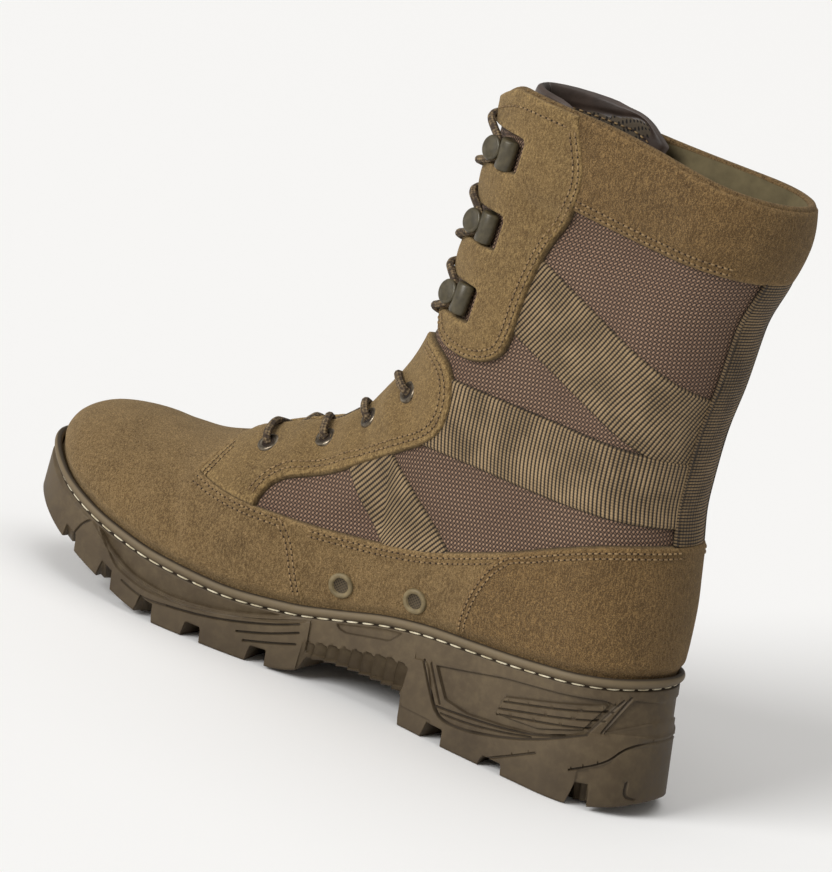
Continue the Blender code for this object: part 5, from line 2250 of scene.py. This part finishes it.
    def _bead(self, rings: Array, below: Array) -> None:
        """Make the bead and the channel under it, with painted shade in the channel and at the bead's top,
        where the suede meets it, and a painted highlight on its shoulder.

        Args:
            rings: Points, ring by ring downwards.
            below: Depth of each below the bead's top.
        """
        # Painted shade in the stitch channel and at the bead's top where the suede meets it, and a painted
        # highlight on the bead's outer shoulder.
        sunk = 1.6 * np.exp(-((below - self.channel) / 0.5) ** 2) + 1.2 * np.exp(-(below / 0.5) ** 2)
        values = {"groove": sunk.ravel(), "bead": np.exp(-((below - 1.6) / 1.6) ** 2).ravel()}
        faces = [face[::-1] for face in ring_faces(rings.shape[0], rings.shape[1])]
        points = rings.reshape(-1, 3)
        bead = make_object("outsole_bead", points, faces, self.finishes["rubber"], values=values)
        hand_over(bead, "rubber")

    def _wall(self, rings: Array, ways: Array, carried: Array) -> Array:
        """Make the moulded wall.

        Args:
            rings: Points of the plain wall, ring by ring downwards.
            ways: Outward directions there.
            carried: Depth below the bead, the bead's height, the lower edge's height and the relief's fade.

        Returns:
            The wall's lower edge.
        """
        index = np.arange(rings.shape[0] * rings.shape[1]).reshape(rings.shape[:2])
        points = rings.reshape(-1, 3)
        tris = grid_tris(np.concatenate([index, index[:, :1]], axis=1))
        patch = self.score(Patch(points, ways.reshape(-1, 3), points[:, [0, 2]], carried.reshape(-1, 4), tris,
                                 np.zeros(len(points))))
        below, top, bottom, turn = patch.carried.T
        fade = ease((below - self.wall_start) / 1.2) * turn
        depth, lines = (part * fade for part in self.sculpt(patch.spots, top))
        edge = 1.0 - ellipse((patch.points[:, 2] - bottom) / self.edge_round)
        points = patch.points - patch.normals * (depth + edge)[:, None]
        # The groove value is painted shade in the grooves, at block edges and in the pleat gaps; the wall has
        # no painted highlight.
        values = {"groove": lines, "bead": np.zeros(len(lines))}
        faces = whole_tris(points, patch.tris).tolist()
        wall = make_object("outsole_wall", points, faces, self.finishes["rubber"], values=values)
        wall.data.set_sharp_from_angle(angle=math.radians(self.sharp_angle))
        hand_over(wall, "rubber", "outsole")
        return points[index[-1]]

    def score(self, patch: Patch) -> Patch:
        """Cut the wall's triangles along every moulded edge, so that each stays sharp.

        Args:
            patch: The sheet to cut.

        Returns:
            The cut sheet.
        """
        for height in (0.35 * self.edge_round, self.edge_round):
            patch = replace(patch, level=patch.points[:, 2] - patch.carried[:, 2]).split(height, False)
        steps = ((PROUD_TOP, -self.proud_edge, self.proud_edge), (PANEL_LOW, 0.0, self.panel_edge))
        for rows, *places in steps:
            patch = patch.scored(lambda spots: spots[:, 1] - read(rows, "z", spots[:, 0]), *places)
        for k in range(self.arch_ribs + 1):
            patch = patch.scored(lambda spots: self.pleat(spots[:, 0]), k - self.pleat_step, k)
        for row in self.blocks:
            outline = np.asarray(row.outline, float)
            edges = (-self.block_edge, self.block_edge)
            patch = patch.scored(lambda spots: outline_field(spots, outline), *edges)
        for groove in self.grooves:
            line = soften(groove.line, 2)
            patch = patch.scored(lambda spots: line_side(spots, line), 0.0)
            edges = (groove.width - self.groove_flat, groove.width + self.groove_edge)
            patch = patch.scored(lambda spots: line_distance(spots, line), *edges)
        return patch

    def _underside(self, cup: Array, edge: Array) -> tuple[Array, list[tuple[int, ...]]]:
        """Points and faces of the field of lugs and of the floor of the cup.

        Args:
            cup: Ring at the floor of the cup.
            edge: Ring at the lower edge of the wall.

        Returns:
            The points, the two rings first, and the faces.
        """
        count = len(edge)
        half = count // 2
        share = np.linspace(0.0, 1.0, self.tread_columns + 1)[1:-1, None]
        ends = zip(edge[1:half], edge[count - 1:half:-1])
        under = np.concatenate([near + (far - near) * share for near, far in ends])
        reach = np.clip(under[:, 0], self.last.heel, self.last.toe)
        under[:, 2] = tread_z(reach) + self.notch_depth(under[:, :2]) + self._fine_tread(under)
        inner = np.arange(2 * count, 2 * count + len(under)).reshape(half - 1, -1)
        rows = [[count + k, *inner[k - 1].tolist(), 2 * count - k] for k in range(1, half)]
        faces: list[tuple[int, ...]] = []
        for row, following in zip(rows[:-1], rows[1:]):
            faces += [(row[k], row[k + 1], following[k + 1], following[k]) for k in range(self.tread_columns)]
        faces += [(count, rows[0][k + 1], rows[0][k]) for k in range(self.tread_columns)]
        faces += [(rows[-1][k], rows[-1][k + 1], count + half) for k in range(self.tread_columns)]
        for k in range(half):
            faces.append(tuple(dict.fromkeys((k, k + 1, (count - k - 1) % count, (count - k) % count))))
        return np.concatenate([cup, edge, under]), faces

    def _fine_tread(self, points: Array) -> Array:
        """Height that the fine chevron grooves take from the middle of the underside.

        Args:
            points: Points of the underside, one a row.

        Returns:
            The heights.
        """
        across = np.abs(points[:, 1])
        wave = np.abs(((points[:, 0] + 0.5 * across) / self.chevron) % 1.0 - 0.5) * 2
        fade = ease((self.chevron_half - across) / self.chevron_fade)
        return self.chevron_depth * ease((wave - 0.72) / 0.12) * fade

    def _thread(self, loop: Array, normal: Array, top: Array) -> None:
        """Lay the pale thread in the channel.

        Args:
            loop: Points round the feather line.
            normal: Outward directions.
            top: Height of the bead's top at each.
        """
        line = np.column_stack([loop + normal * (self.wall_out - self.thread_in), top - self.channel])
        ways = np.column_stack([normal, np.zeros(len(normal))])
        thread, holes = Builder(), Builder()
        sew(np.vstack([line, line[:1]]), np.vstack([ways, ways[:1]]), self.gauge, thread, holes)
        hand_over(thread.make("welt_thread", self.finishes["welt_thread"]), "lace")
        hand_over(holes.make("welt_holes", self.finishes["needle_hole"]), "rubber")


# Tongue and collar

class TongueRow(NamedTuple):
    """How far the tongue reaches round each side at a share of its length."""

    share: float
    medial: float
    lateral: float


TONGUE = table(
    TongueRow,
    (0, 17, 17), (0.3, 25, 25), (0.6, 31, 31),
    (0.85, 48, 57), (0.93, 62, 77), (1, 66, 81),
)


@dataclass
class Tongue:
    """Padded tongue with wings that wrap the ankle and stand above the collar."""

    finishes: Wardrobe
    last: LastForm
    depth: float = 4.3
    thick: float = 3.5
    rows: int = 70
    columns: int = 44
    start: float = 4.75
    rise: float = 6.0
    fall: float = 0.45
    fall_back: float = 6.0
    corner: float = 0.16
    wing_drop: float = 5.0
    top_rows: int = 10
    rim: float = 9.5
    row_power: float = 1.25
    fall_from: float = 0.45
    drop_from: float = 0.7
    wing_from: float = 0.78
    edge_round: float = 4.0
    groove: float = 0.9
    groove_half: float = 1.3
    belly: float = 0.6
    belly_reach: float = 5.0
    gauge: Gauge = Gauge(pitch=3.2, length=1.9, radius=0.4)
    fill: float = 0.7

    def build(self) -> None:
        """Make the tongue's padded body and the thread round its rim."""
        grid = self.outer_face()
        normal = self.normals(grid)
        edge = self.edge_distance(grid)
        front, back = self.padded_faces(grid, normal, edge)
        count = edge.size
        index = np.arange(count).reshape(edge.shape)
        corners = (index[:-1, :-1], index[:-1, 1:], index[1:, 1:], index[1:, :-1])
        quads = np.stack(corners, axis=-1).reshape(-1, 4)
        border = np.concatenate([index[0, :], index[1:, -1], index[-1, -2::-1], index[-2:0:-1, 0]])
        following = np.roll(border, -1)
        side = np.stack([border, border + count, following + count, following], axis=1)
        faces = quads.tolist() + (quads[:, ::-1] + count).tolist() + side.tolist()
        points = np.concatenate([front.reshape(-1, 3), back.reshape(-1, 3)])
        uv = self.face_lengths(grid).reshape(-1, 2)
        tongue = make_object("tongue_pad", points, faces, self.finishes["leather"], np.concatenate([uv, uv]))
        tongue.data.materials.append(self.finishes["mesh_lining"])
        inner = np.zeros(len(tongue.data.polygons), np.int32)
        inner[len(quads):2 * len(quads)] = (edge.ravel()[quads].min(axis=1) > self.rim).astype(np.int32)
        tongue.data.polygons.foreach_set("material_index", inner)
        hand_over(tongue, "leather", "tongue")
        self._rim_thread(back, -normal, edge)

    def outer_face(self) -> Array:
        """Outer face of the tongue, row by row from the vamp to the top.

        Returns:
            The points, row by row.
        """
        shares = np.linspace(0.0, 1.0, self.rows)
        reach = {side: read(TONGUE, side.name.lower(), shares, "share") for side in Side}
        rows = []
        for k, share in enumerate(shares):
            u = self.start + (TOP - self.start) * share ** self.row_power
            lift = -self.depth - self.fall_back * float(ease((share - self.fall_from) / (1 - self.fall_from)))
            lateral, medial = (self.last.across_throat(u, side, reach[side][k], self.columns, lift)
                               for side in (Side.LATERAL, Side.MEDIAL))
            row = np.concatenate([lateral[:0:-1], medial])
            across = np.linspace(-1.0, 1.0, len(row))
            wing = ease((np.abs(across) - self.wing_from) / (1 - self.wing_from))
            row[:, 2] -= self.wing_drop * wing * ease((share - self.drop_from) / (1 - self.drop_from))
            rows.append(row)
        edge = rows[-1]
        for step in np.linspace(0.0, 1.0, self.top_rows + 1)[1:]:
            place = across * (1.0 - self.corner * (1.0 - math.sqrt(1.0 - step * step)))
            raised = edge.copy()
            raised[:, 2] += self.rise * (1 - self.fall * across ** 4) * step
            rows.append(np.stack([np.interp(place, across, raised[:, k]) for k in range(3)], axis=1))
        return np.array(rows)

    @staticmethod
    def normals(grid: Array) -> Array:
        """Outward directions of the outer face."""
        normal = unit(np.cross(np.gradient(grid, axis=1), np.gradient(grid, axis=0)))
        return normal if normal[0, grid.shape[1] // 2, 0] > 0 else -normal

    @staticmethod
    def face_lengths(grid: Array) -> Array:
        """Lengths across and up the face, in millimetres.

        Args:
            grid: Points of the outer face, row by row.

        Returns:
            Both lengths at each point.
        """
        across = np.linalg.norm(np.diff(grid, axis=1), axis=2)
        across = np.concatenate([np.zeros((len(grid), 1)), np.cumsum(across, axis=1)], axis=1)
        across -= across[:, across.shape[1] // 2][:, None]
        up = np.linalg.norm(np.diff(grid, axis=0), axis=2)
        up = np.concatenate([np.zeros((1, grid.shape[1])), np.cumsum(up, axis=0)])
        return np.stack([across, up], axis=-1)

    def edge_distance(self, grid: Array) -> Array:
        """Distance of each point to the nearest side edge or the top edge.

        Args:
            grid: Points of the outer face, row by row.

        Returns:
            The distances.
        """
        length = self.face_lengths(grid)
        across, up = length[..., 0], length[..., 1]
        return np.minimum.reduce([across - across[:, :1], across[:, -1:] - across, up[-1:] - up])

    def padded_faces(self, grid: Array, normal: Array, edge: Array) -> tuple[Array, Array]:
        """Front and back faces: round at the edge, with a sewn groove inside the rim.

        Args:
            grid: Points of the outer face, row by row.
            normal: Outward directions.
            edge: Distance of each point to the edge.

        Returns:
            Points of the front and of the back.
        """
        pinch = self.thick / 2 * (1 - ellipse(edge / self.edge_round))
        groove = self.groove * np.exp(-((edge - self.rim) / self.groove_half) ** 2)
        belly = self.belly * ellipse(edge / self.belly_reach)
        front = grid - normal * pinch[..., None]
        back = grid - normal * (self.thick + belly - pinch - groove)[..., None]
        return front, back

    def _rim_thread(self, back: Array, normal: Array, edge: Array) -> None:
        """Sew the leather rim to the mesh on the inner face.

        Args:
            back: Points of the inner face.
            normal: Outward directions.
            edge: Distance of each point to the edge.
        """
        row = int(np.abs(edge[self.rows // 2:, self.columns] - self.rim + 1.2).argmin()) + self.rows // 2
        columns = np.flatnonzero(edge[row] > self.rim - 3.0)
        rows = np.full(len(columns), row)
        thread, holes = Builder(), Builder()
        points = back[rows, columns] + normal[rows, columns] * 0.2
        sew(points, normal[rows, columns], self.gauge, thread, holes)
        hand_over(thread.make("thread_tongue", self.finishes["thread"]), "leather")
        hand_over(holes.make("holes_tongue", self.finishes["needle_hole"]), "leather")


@dataclass
class Collar:
    """Rolled edge round the top of the upper, its padded lining and the piping of the back strap."""

    finishes: Wardrobe
    last: LastForm
    sheet: Sheet
    roll: float = 1.75
    lining_low: float = 200.0
    wall: float = 2.05
    puff: float = 3.0
    puff_front: float = 92.0
    puff_fade: float = 30.0
    roll_sides: int = 12
    roll_in: float = 0.35
    roll_down: float = 0.5
    piping: float = 0.95
    piping_sides: int = 8
    piping_lift: float = 1.2
    strap_half: float = 12.0
    strap_low: float = 113.0
    strap_high: float = 229.0
    fill: float = 0.8

    def build(self) -> None:
        """Make the rolled edge, the lining and the piping."""
        self._edge()
        self._lining()
        self._piping()

    def _edge(self) -> None:
        """Roll the suede over the top edge."""
        patch = self.sheet.patch
        path = np.concatenate([self.sheet.grid[1][-1][:0:-1], self.sheet.grid[0][-1]])
        points = patch.points[path] - patch.normals[path] * self.roll_in - (0.0, 0.0, self.roll_down)
        builder = Builder()
        lay_cord(builder, points[::3], self.roll, self.roll_sides)
        hand_over(builder.make("collar_edge", self.finishes["suede_rough"]), "suede")

    def _lining(self) -> None:
        """Pad the inside of the collar."""
        patch = self.sheet.patch
        level = self.lining_low - patch.points[:, 2]
        tris = patch.tris[(level[patch.tris] < 0).any(axis=1)]
        piece = replace(patch, tris=tris, level=level).compact().split(0.0, True)
        above = piece.points[:, 2] - self.lining_low
        share = np.clip(above / (above + piece.rim), 0, 1)
        swell = np.sin(math.pi * share) * ease((self.puff_front - piece.points[:, 0]) / self.puff_fade)
        points = piece.points - piece.normals * (self.wall + self.puff * swell)[:, None]
        lining = make_object("collar_lining", points, piece.tris[:, ::-1].tolist(), self.finishes["lining"])
        hand_over(lining, "sock")

    def _piping(self) -> None:
        """Cord both edges of the back strap."""
        builder = Builder()
        z = np.linspace(self.strap_low, self.strap_high, 60)
        for side in Side:
            spots = np.array([[self._strap_x(side, height), height] for height in z])
            points, normals = self.last.frames(side, spots)
            lay_cord(builder, points + normals * self.piping_lift, self.piping, self.piping_sides)
        hand_over(builder.make("back_strap_piping", self.finishes["back_webbing"]), "webbing")

    def _strap_x(self, side: Side, z: float) -> float:
        """Place along the boot where the upper is as wide as the back strap.

        Args:
            side: Side of the boot.
            z: Height.

        Returns:
            The place.
        """
        back = float(np.interp(z, self.last.back_line[:, 1], self.last.back_line[:, 0]))
        x = np.linspace(back, back + 14.0, 80)
        return float(np.interp(self.strap_half, self.last.half_width(side, x, np.full_like(x, z)), x))


# Laces and hardware

@dataclass
class Stop:
    """An eyelet or hook on one side that the lace runs through."""

    last: LastForm
    side: Side
    spot: tuple[float, float]
    hook: bool
    row: float = field(init=False)
    width: float = field(init=False)
    opening: float = field(init=False)
    point: Array = field(init=False)
    out: Array = field(init=False)
    front: Array = field(init=False)
    up: Array = field(init=False)

    def __post_init__(self) -> None:
        """Find the stop's place on the upper and its own directions."""
        self.row = self.last.row_of(self.spot)
        self.width = float(self.last.half_width(self.side, *self.spot)[0])
        self.opening = float(self.last.ridge_at(self.row)[2])
        self.point, self.out = (part[0] for part in self.last.frames(self.side, np.array([self.spot])))
        front = np.array([1.0, 0.0, 0.05])
        self.front = unit(front - self.out * (front @ self.out))
        self.up = np.cross(self.front, self.out) * self.side.value

    def at(self, front: float, up: float, out: float) -> Array:
        """Point at distances along the stop's own directions."""
        return self.point + self.front * front + self.up * up + self.out * out


@dataclass
class Laces:
    """Round lace that enters each eyelet from outside and loops behind each hook."""

    finishes: Wardrobe
    last: LastForm
    radius: float = 1.7
    around: int = 10
    steps: int = 12
    apart: float = 0.9
    hook_in: float = 1.0
    eyelet_out: float = 1.5
    eyelet_in: float = 2.2
    shares: tuple[float, ...] = (0.0, 0.2, 0.5, 0.68, 0.8, 0.9, 1.0)
    under: tuple[float, ...] = (-3.2, -3.0, -2.6, -0.8, 4.4, 5.3, 4.9)
    over: tuple[float, ...] = (0.5, -1.2, -2.0, -1.6, -1.2, -0.4, 0.5)
    bar: tuple[float, ...] = (4.9, 5.2, 1.5, -2.0, 1.5, 5.2, 4.9)

    def build(self) -> None:
        """Make the bar at the bottom and both strands above it."""
        builder = Builder()
        stops = {side: [Stop(self.last, side, spot, False) for spot in EYELETS]
                 + [Stop(self.last, side, spot, True) for spot in HOOKS] for side in Side}
        self._lay(builder, self._bar(stops[Side.MEDIAL][0], stops[Side.LATERAL][0]))
        for side in Side:
            path: list[Array] = []
            here = side
            for k in range(len(EYELETS) + len(HOOKS) - 1):
                there = Side.LATERAL if here is Side.MEDIAL else Side.MEDIAL
                start, end = stops[here][k], stops[there][k + 1]
                path += self._crossing(start, end, self.apart * here.value)
                here = there
                if not end.hook:
                    self._lay(builder, path)
                    path = []
            self._lay(builder, path)
        hand_over(builder.make("laces_cord", self.finishes["lace"]), "lace", "laces")

    def _lay(self, builder: Builder, path: list[Array]) -> None:
        """Add one strand."""
        lay_cord(builder, np.array(path), self.radius, self.around)

    def _crossing(self, start: Stop, end: Stop, shift: float) -> list[Array]:
        """A strand from one stop to the next one on the other side.

        Args:
            start: Where it comes from.
            end: Where it goes.
            shift: How far it stands off in the middle, where it meets the other strand.

        Returns:
            Points along the strand, with the loop round the end where that is a hook.
        """
        sign = start.side.value
        lifts = self.over if end.hook else self.under
        first = start.opening - self.hook_in if start.hook else start.width - self.eyelet_out
        last = end.opening - self.hook_in if end.hook else end.width - self.eyelet_in
        points = [] if start.hook else [start.at(0.0, 0.0, -1.0)]
        for share in np.linspace(0.0, 1.0, self.steps):
            y = sign * (first + (-last - first) * share)
            u = start.row + (end.row - start.row) * ease(share)
            lift = float(smooth(self.shares, lifts, share))
            points.append(self.last.over_throat(u, y, lift + shift * math.sin(math.pi * share)))
        return points + (self._loop(end) if end.hook else self._entry(end))

    @staticmethod
    def _entry(stop: Stop) -> list[Array]:
        """The lace's way down through an eyelet."""
        return [stop.at(0.6, 0.4, 5.0), stop.at(0.0, 0.0, 3.4), stop.at(0.0, 0.0, -1.0)]

    @staticmethod
    def _loop(stop: Stop) -> list[Array]:
        """The lace's way round the neck of a hook.

        Args:
            stop: The hook.

        Returns:
            Points along the lace.
        """
        rows = ((12.5, -12, -1), (11, -10.6, 3.6), (7.5, -9.2, 5.9), (3, -7.4, 5.6), (-2, -4.8, 4.4),
                (-6.2, -2, 3.9), (-6.2, 2, 3.9), (-2, 4.8, 4.4), (3, 7.4, 5.6), (7.5, 9.2, 5.9),
                (11, 10.6, 3.6), (12.5, 12, -2))
        return [stop.at(*row) for row in rows]

    def _bar(self, near: Stop, far: Stop) -> list[Array]:
        """The straight bar between the lowest eyelets.

        Args:
            near: Medial eyelet.
            far: Lateral eyelet.

        Returns:
            Points along the lace.
        """
        places = np.linspace(near.width - self.eyelet_in, self.eyelet_in - far.width, self.steps)
        lifts = smooth((0.0, 0.15, 0.3, 0.5, 0.7, 0.85, 1.0), self.bar, np.linspace(0.0, 1.0, self.steps))
        over = [self.last.over_throat(near.row, y, lift) for y, lift in zip(places, lifts)]
        return self._entry(near)[::-1] + over + self._entry(far)


def lay_cord(builder: Builder, points: Array, radius: float, around: int) -> None:
    """Add a round cord along points, with its ends closed.

    Args:
        builder: Where the cord goes.
        points: Points along its middle.
        radius: Its radius.
        around: Vertices round it.
    """
    line = soften(points, 2)
    line = even(line, max(int(line_length(line) / 0.9), 6))
    along = unit(np.gradient(line, axis=0))
    side = np.cross(along[0], (0.3, 0.1, 1.0))
    length = lengths(line)
    angles = np.linspace(0.0, 2 * math.pi, around + 1)
    rings, uv = [], []
    for k, (centre, way) in enumerate(zip(line, along)):
        side = unit(side - way * (side @ way))
        rings.append(centre + arc(angles, side, np.cross(way, side)) * radius)
        uv.append(np.stack([np.full(around + 1, length[k]), angles / (2 * math.pi)], axis=1))
    faces = ring_faces(len(rings), around + 1, closed=False)
    last = (len(rings) - 1) * (around + 1)
    faces += [tuple(range(around))[::-1], tuple(range(last, last + around))]
    builder.add(np.concatenate(rings), faces, np.concatenate(uv))


def turned(profile: Points, segments: int, point: Array,
           normal: Array) -> tuple[Array, list[tuple[int, ...]]]:
    """A turned shape that stands on a point along a normal.

    Args:
        profile: Radius and height pairs, from the outside in.
        segments: Vertices round it.
        point: Where it stands.
        normal: Its axis.

    Returns:
        The vertices and the faces.
    """
    up = np.array([0.0, 0.0, 1.0])
    up = unit(up - normal * (up @ normal))
    ring = arc(np.linspace(0.0, 2 * math.pi, segments, endpoint=False), up, np.cross(up, normal))
    rings = [point + ring * radius + normal * height for radius, height in profile]
    faces = [face[::-1] for face in ring_faces(len(rings), segments)]
    last = (len(rings) - 1) * segments
    faces.append(tuple(range(last, last + segments))[::-1])
    return np.concatenate(rings), faces


@dataclass
class Hardware:
    """Eyelets, speed hooks and drain vents."""

    finishes: Wardrobe
    last: LastForm
    eyelet_lift: float = 2.9
    vent_lift: float = 2.2
    eyelet: Points = (
        (5.0, -0.6), (5.1, 0.1), (4.7, 0.7), (3.9, 0.95), (3.2, 0.75), (2.9, 0.5), (2.8, 0.4),
    )
    vent_ring: Points = (
        (5.5, -0.8), (5.6, 0.3), (5.3, 0.9), (4.7, 1.15), (3.9, 1.1), (3.5, 0.8), (3.35, 0.1),
    )
    hook_neck: Points = ((2.6, 0.0), (1.8, 1.4), (1.6, 3.6), (2.2, 5.2))
    hook_disc: Points = (
        (1.0, -0.2), (4.6, -0.2), (5.2, 0.2), (5.3, 1.0), (4.9, 1.55), (4.1, 1.7), (3.8, 1.5), (0.3, 1.55),
    )
    hook_body: Points = ((-1.0, 0.7), (-0.96, 0.92), (-0.86, 1.0), (0.86, 1.0), (0.96, 0.92), (1.0, 0.7))
    neck_place: tuple[float, float, float] = (-3.8, 0.0, 0.6)
    body_turn: float = 0.12
    eyelet_sides: int = 28
    vent_sides: int = 36
    neck_sides: int = 16
    disc_sides: int = 36
    body_back: float = 9.6
    body_half: float = 4.5
    body_rise: float = 4.4
    body_tall: float = 6.6

    def build(self) -> None:
        """Make every piece of hardware."""
        for side in Side:
            word = side.name.lower()
            for number, spot in enumerate(EYELETS, 1):
                self._eyelet(f"eyelet_{word}_{number}", Stop(self.last, side, spot, False))
            for number, spot in enumerate(HOOKS, 1):
                self._hook(f"hook_{word}_{number}", Stop(self.last, side, spot, True))
        for number, spot in enumerate(VENTS, 1):
            self._vent(f"vent_{number}", Stop(self.last, Side.MEDIAL, spot, False))

    def _eyelet(self, name: str, stop: Stop) -> None:
        """A worn ring whose hole is closed by a face of painted shade.

        Args:
            name: Name of the piece.
            stop: Its place on the upper.
        """
        builder = Builder()
        middle = stop.at(0.0, 0.0, self.eyelet_lift)
        builder.add(*turned(self.eyelet, self.eyelet_sides, middle, stop.out))
        ring = builder.make(f"{name}_ring", self.finishes["worn_metal"])
        # The face that closes the ring is painted dark: painted shade in the eyelet's hole.
        self._dress_last(ring, self.finishes["needle_hole"])
        hand_over(ring, "metal", name)

    @staticmethod
    def _dress_last(thing: Piece, material: Material) -> None:
        """Give the closing face of a turned piece another finish."""
        thing.data.materials.append(material)
        thing.data.polygons[len(thing.data.polygons) - 1].material_index = 1

    def _hook(self, name: str, stop: Stop) -> None:
        """A curled body, a neck and a round disc.

        Args:
            name: Name of the piece.
            stop: Its place on the upper.
        """
        builder = Builder()
        self._body(builder, stop)
        neck = stop.at(*self.neck_place)
        builder.add(*turned(self.hook_neck, self.neck_sides, neck, stop.out))
        face = unit(stop.out * 0.6 + np.array([0.0, 0.5 * stop.side.value, 0.1]))
        top = neck + stop.out * self.hook_neck[-1][1]
        builder.add(*turned(self.hook_disc, self.disc_sides, top, face))
        hand_over(builder.make(f"{name}_steel", self.finishes["metal"]), "metal", name)

    def _body(self, builder: Builder, stop: Stop) -> None:
        """Add the half round body behind the disc.

        Args:
            builder: Where the shape goes.
            stop: The hook's place.
        """
        angles = np.linspace(-self.body_turn * math.pi, (1 + self.body_turn) * math.pi, 20)
        centre = stop.at(-self.body_back, 0.0, 0.8)
        across = arc(angles, stop.front * self.body_half, stop.out * self.body_rise)
        rings = [centre + stop.up * height * self.body_tall + across * scale
                 for height, scale in self.hook_body]
        faces = capped_faces(len(rings), len(angles))
        if stop.side is Side.LATERAL:
            faces = [face[::-1] for face in faces]
        builder.add(np.concatenate(rings), faces)

    def _vent(self, name: str, stop: Stop) -> None:
        """A low ring round a plain mesh disc.

        Args:
            name: Name of the piece.
            stop: Its place on the upper.
        """
        builder = Builder()
        middle = stop.at(0.0, 0.0, self.vent_lift)
        points, faces = turned(self.vent_ring, self.vent_sides, middle, stop.out)
        uv = np.stack([(points - stop.point) @ stop.front, (points - stop.point) @ stop.up], axis=1)
        builder.add(points, faces, uv)
        ring = builder.make(f"{name}_ring", self.finishes["vent_ring"])
        self._dress_last(ring, self.finishes["vent_mesh"])
        hand_over(ring, "metal", name)


# Studio

@dataclass
class Studio:
    """Pale floor, soft lights and the camera at the photograph's angle."""

    azimuth: float = 27.0
    elevation: float = 14.0
    roll: float = 16.5
    distance: float = 1900.0
    focal_px: float = 4507.54
    frame_px: tuple[int, int] = (832, 872)
    target: tuple[float, float, float] = (149.66, 0.0, 108.83)

    def build(self) -> None:
        """Make floor, lights, world and camera."""
        self._floor()
        self._lights()
        self._camera()

    def _floor(self) -> None:
        """A large pale plane under the boot."""
        mesh = bpy.data.meshes.new("studio_floor")
        reach = 40.0
        corners = [(x * reach, y * reach, 0.0) for x, y in ((-1, -1), (1, -1), (1, 1), (-1, 1))]
        mesh.from_pydata(corners, [], [(0, 1, 2, 3)])
        floor = bpy.data.objects.new("studio_floor", mesh)
        bpy.context.scene.collection.objects.link(floor)
        f = Finish("studio_floor", 0.9)
        f.put(f.shader.inputs["Base Color"], Colour(0.93, 0.93, 0.925))
        mesh.materials.append(f.material)

    def _lights(self) -> None:
        """Three soft suns that light the floor evenly, and a pale world."""
        world = bpy.data.worlds.new("studio")
        world.use_nodes = True
        world.node_tree.nodes["Background"].inputs[0].default_value = (1.0, 0.97, 0.93, 1.0)
        world.node_tree.nodes["Background"].inputs[1].default_value = 0.32
        bpy.context.scene.world = world
        rows = (
            ("key", (0.6, 1.5, 0.85), 2.7, 30.0),
            ("toe", (1.3, 0.7, 0.5), 0.1, 40.0),
            ("top", (0.0, -0.2, 1.8), 0.9, 60.0),
        )
        for name, place, power, spread in rows:
            light = bpy.data.lights.new(name, "SUN")
            light.energy = power
            light.angle = math.radians(spread)
            lamp = bpy.data.objects.new(name, light)
            lamp.location = place
            lamp.rotation_euler = (-Vector(place)).to_track_quat("-Z", "Y").to_euler()
            bpy.context.scene.collection.objects.link(lamp)
        bpy.context.scene.view_settings.view_transform = "Standard"

    def _camera(self) -> None:
        """Camera behind and above the medial side, rolled as the photograph is."""
        azimuth, elevation, roll = (math.radians(v) for v in (self.azimuth, self.elevation, self.roll))
        back = Vector((-math.sin(azimuth) * math.cos(elevation), math.cos(azimuth) * math.cos(elevation),
                       math.sin(elevation)))
        right = (-back).cross(Vector((0.0, 0.0, 1.0))).normalized()
        above = right.cross(-back)
        turned_right = math.cos(roll) * right + math.sin(roll) * above
        turned_up = -math.sin(roll) * right + math.cos(roll) * above
        place = (Vector(self.target) - Vector(ORIGIN) + back * self.distance) * MM
        camera = bpy.data.cameras.new("camera")
        camera.sensor_width = 36.0
        camera.lens = self.focal_px / max(self.frame_px) * camera.sensor_width
        camera.clip_end = 200.0
        thing = bpy.data.objects.new("camera", camera)
        axes = Matrix((turned_right, turned_up, back)).transposed().to_4x4()
        thing.matrix_world = Matrix.Translation(place) @ axes
        bpy.context.scene.collection.objects.link(thing)
        bpy.context.scene.camera = thing


def main() -> None:
    """Build the boot's looks in order."""
    logging.basicConfig(level=logging.INFO, format="%(name)s: %(message)s")
    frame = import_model()
    Studio().build()
    finishes = {finish.name: finish.make() for finish in FINISHES}
    last = LastForm()
    sheet = Sheet(last)
    Shell(finishes, sheet).build()
    upper = Upper(finishes, sheet)
    upper.plan()
    upper.build()
    Stitching(finishes, last, upper).build()
    Sole(finishes, last).build()
    Tongue(finishes, last).build()
    Collar(finishes, last, sheet).build()
    Laces(finishes, last).build()
    Hardware(finishes, last).build()
    insole = frame["nodes"]["insole"]
    insole.data.materials.clear()
    insole.data.materials.append(finishes["sock"])
    bpy.context.view_layer.update()


if __name__ == "__main__":
    main()
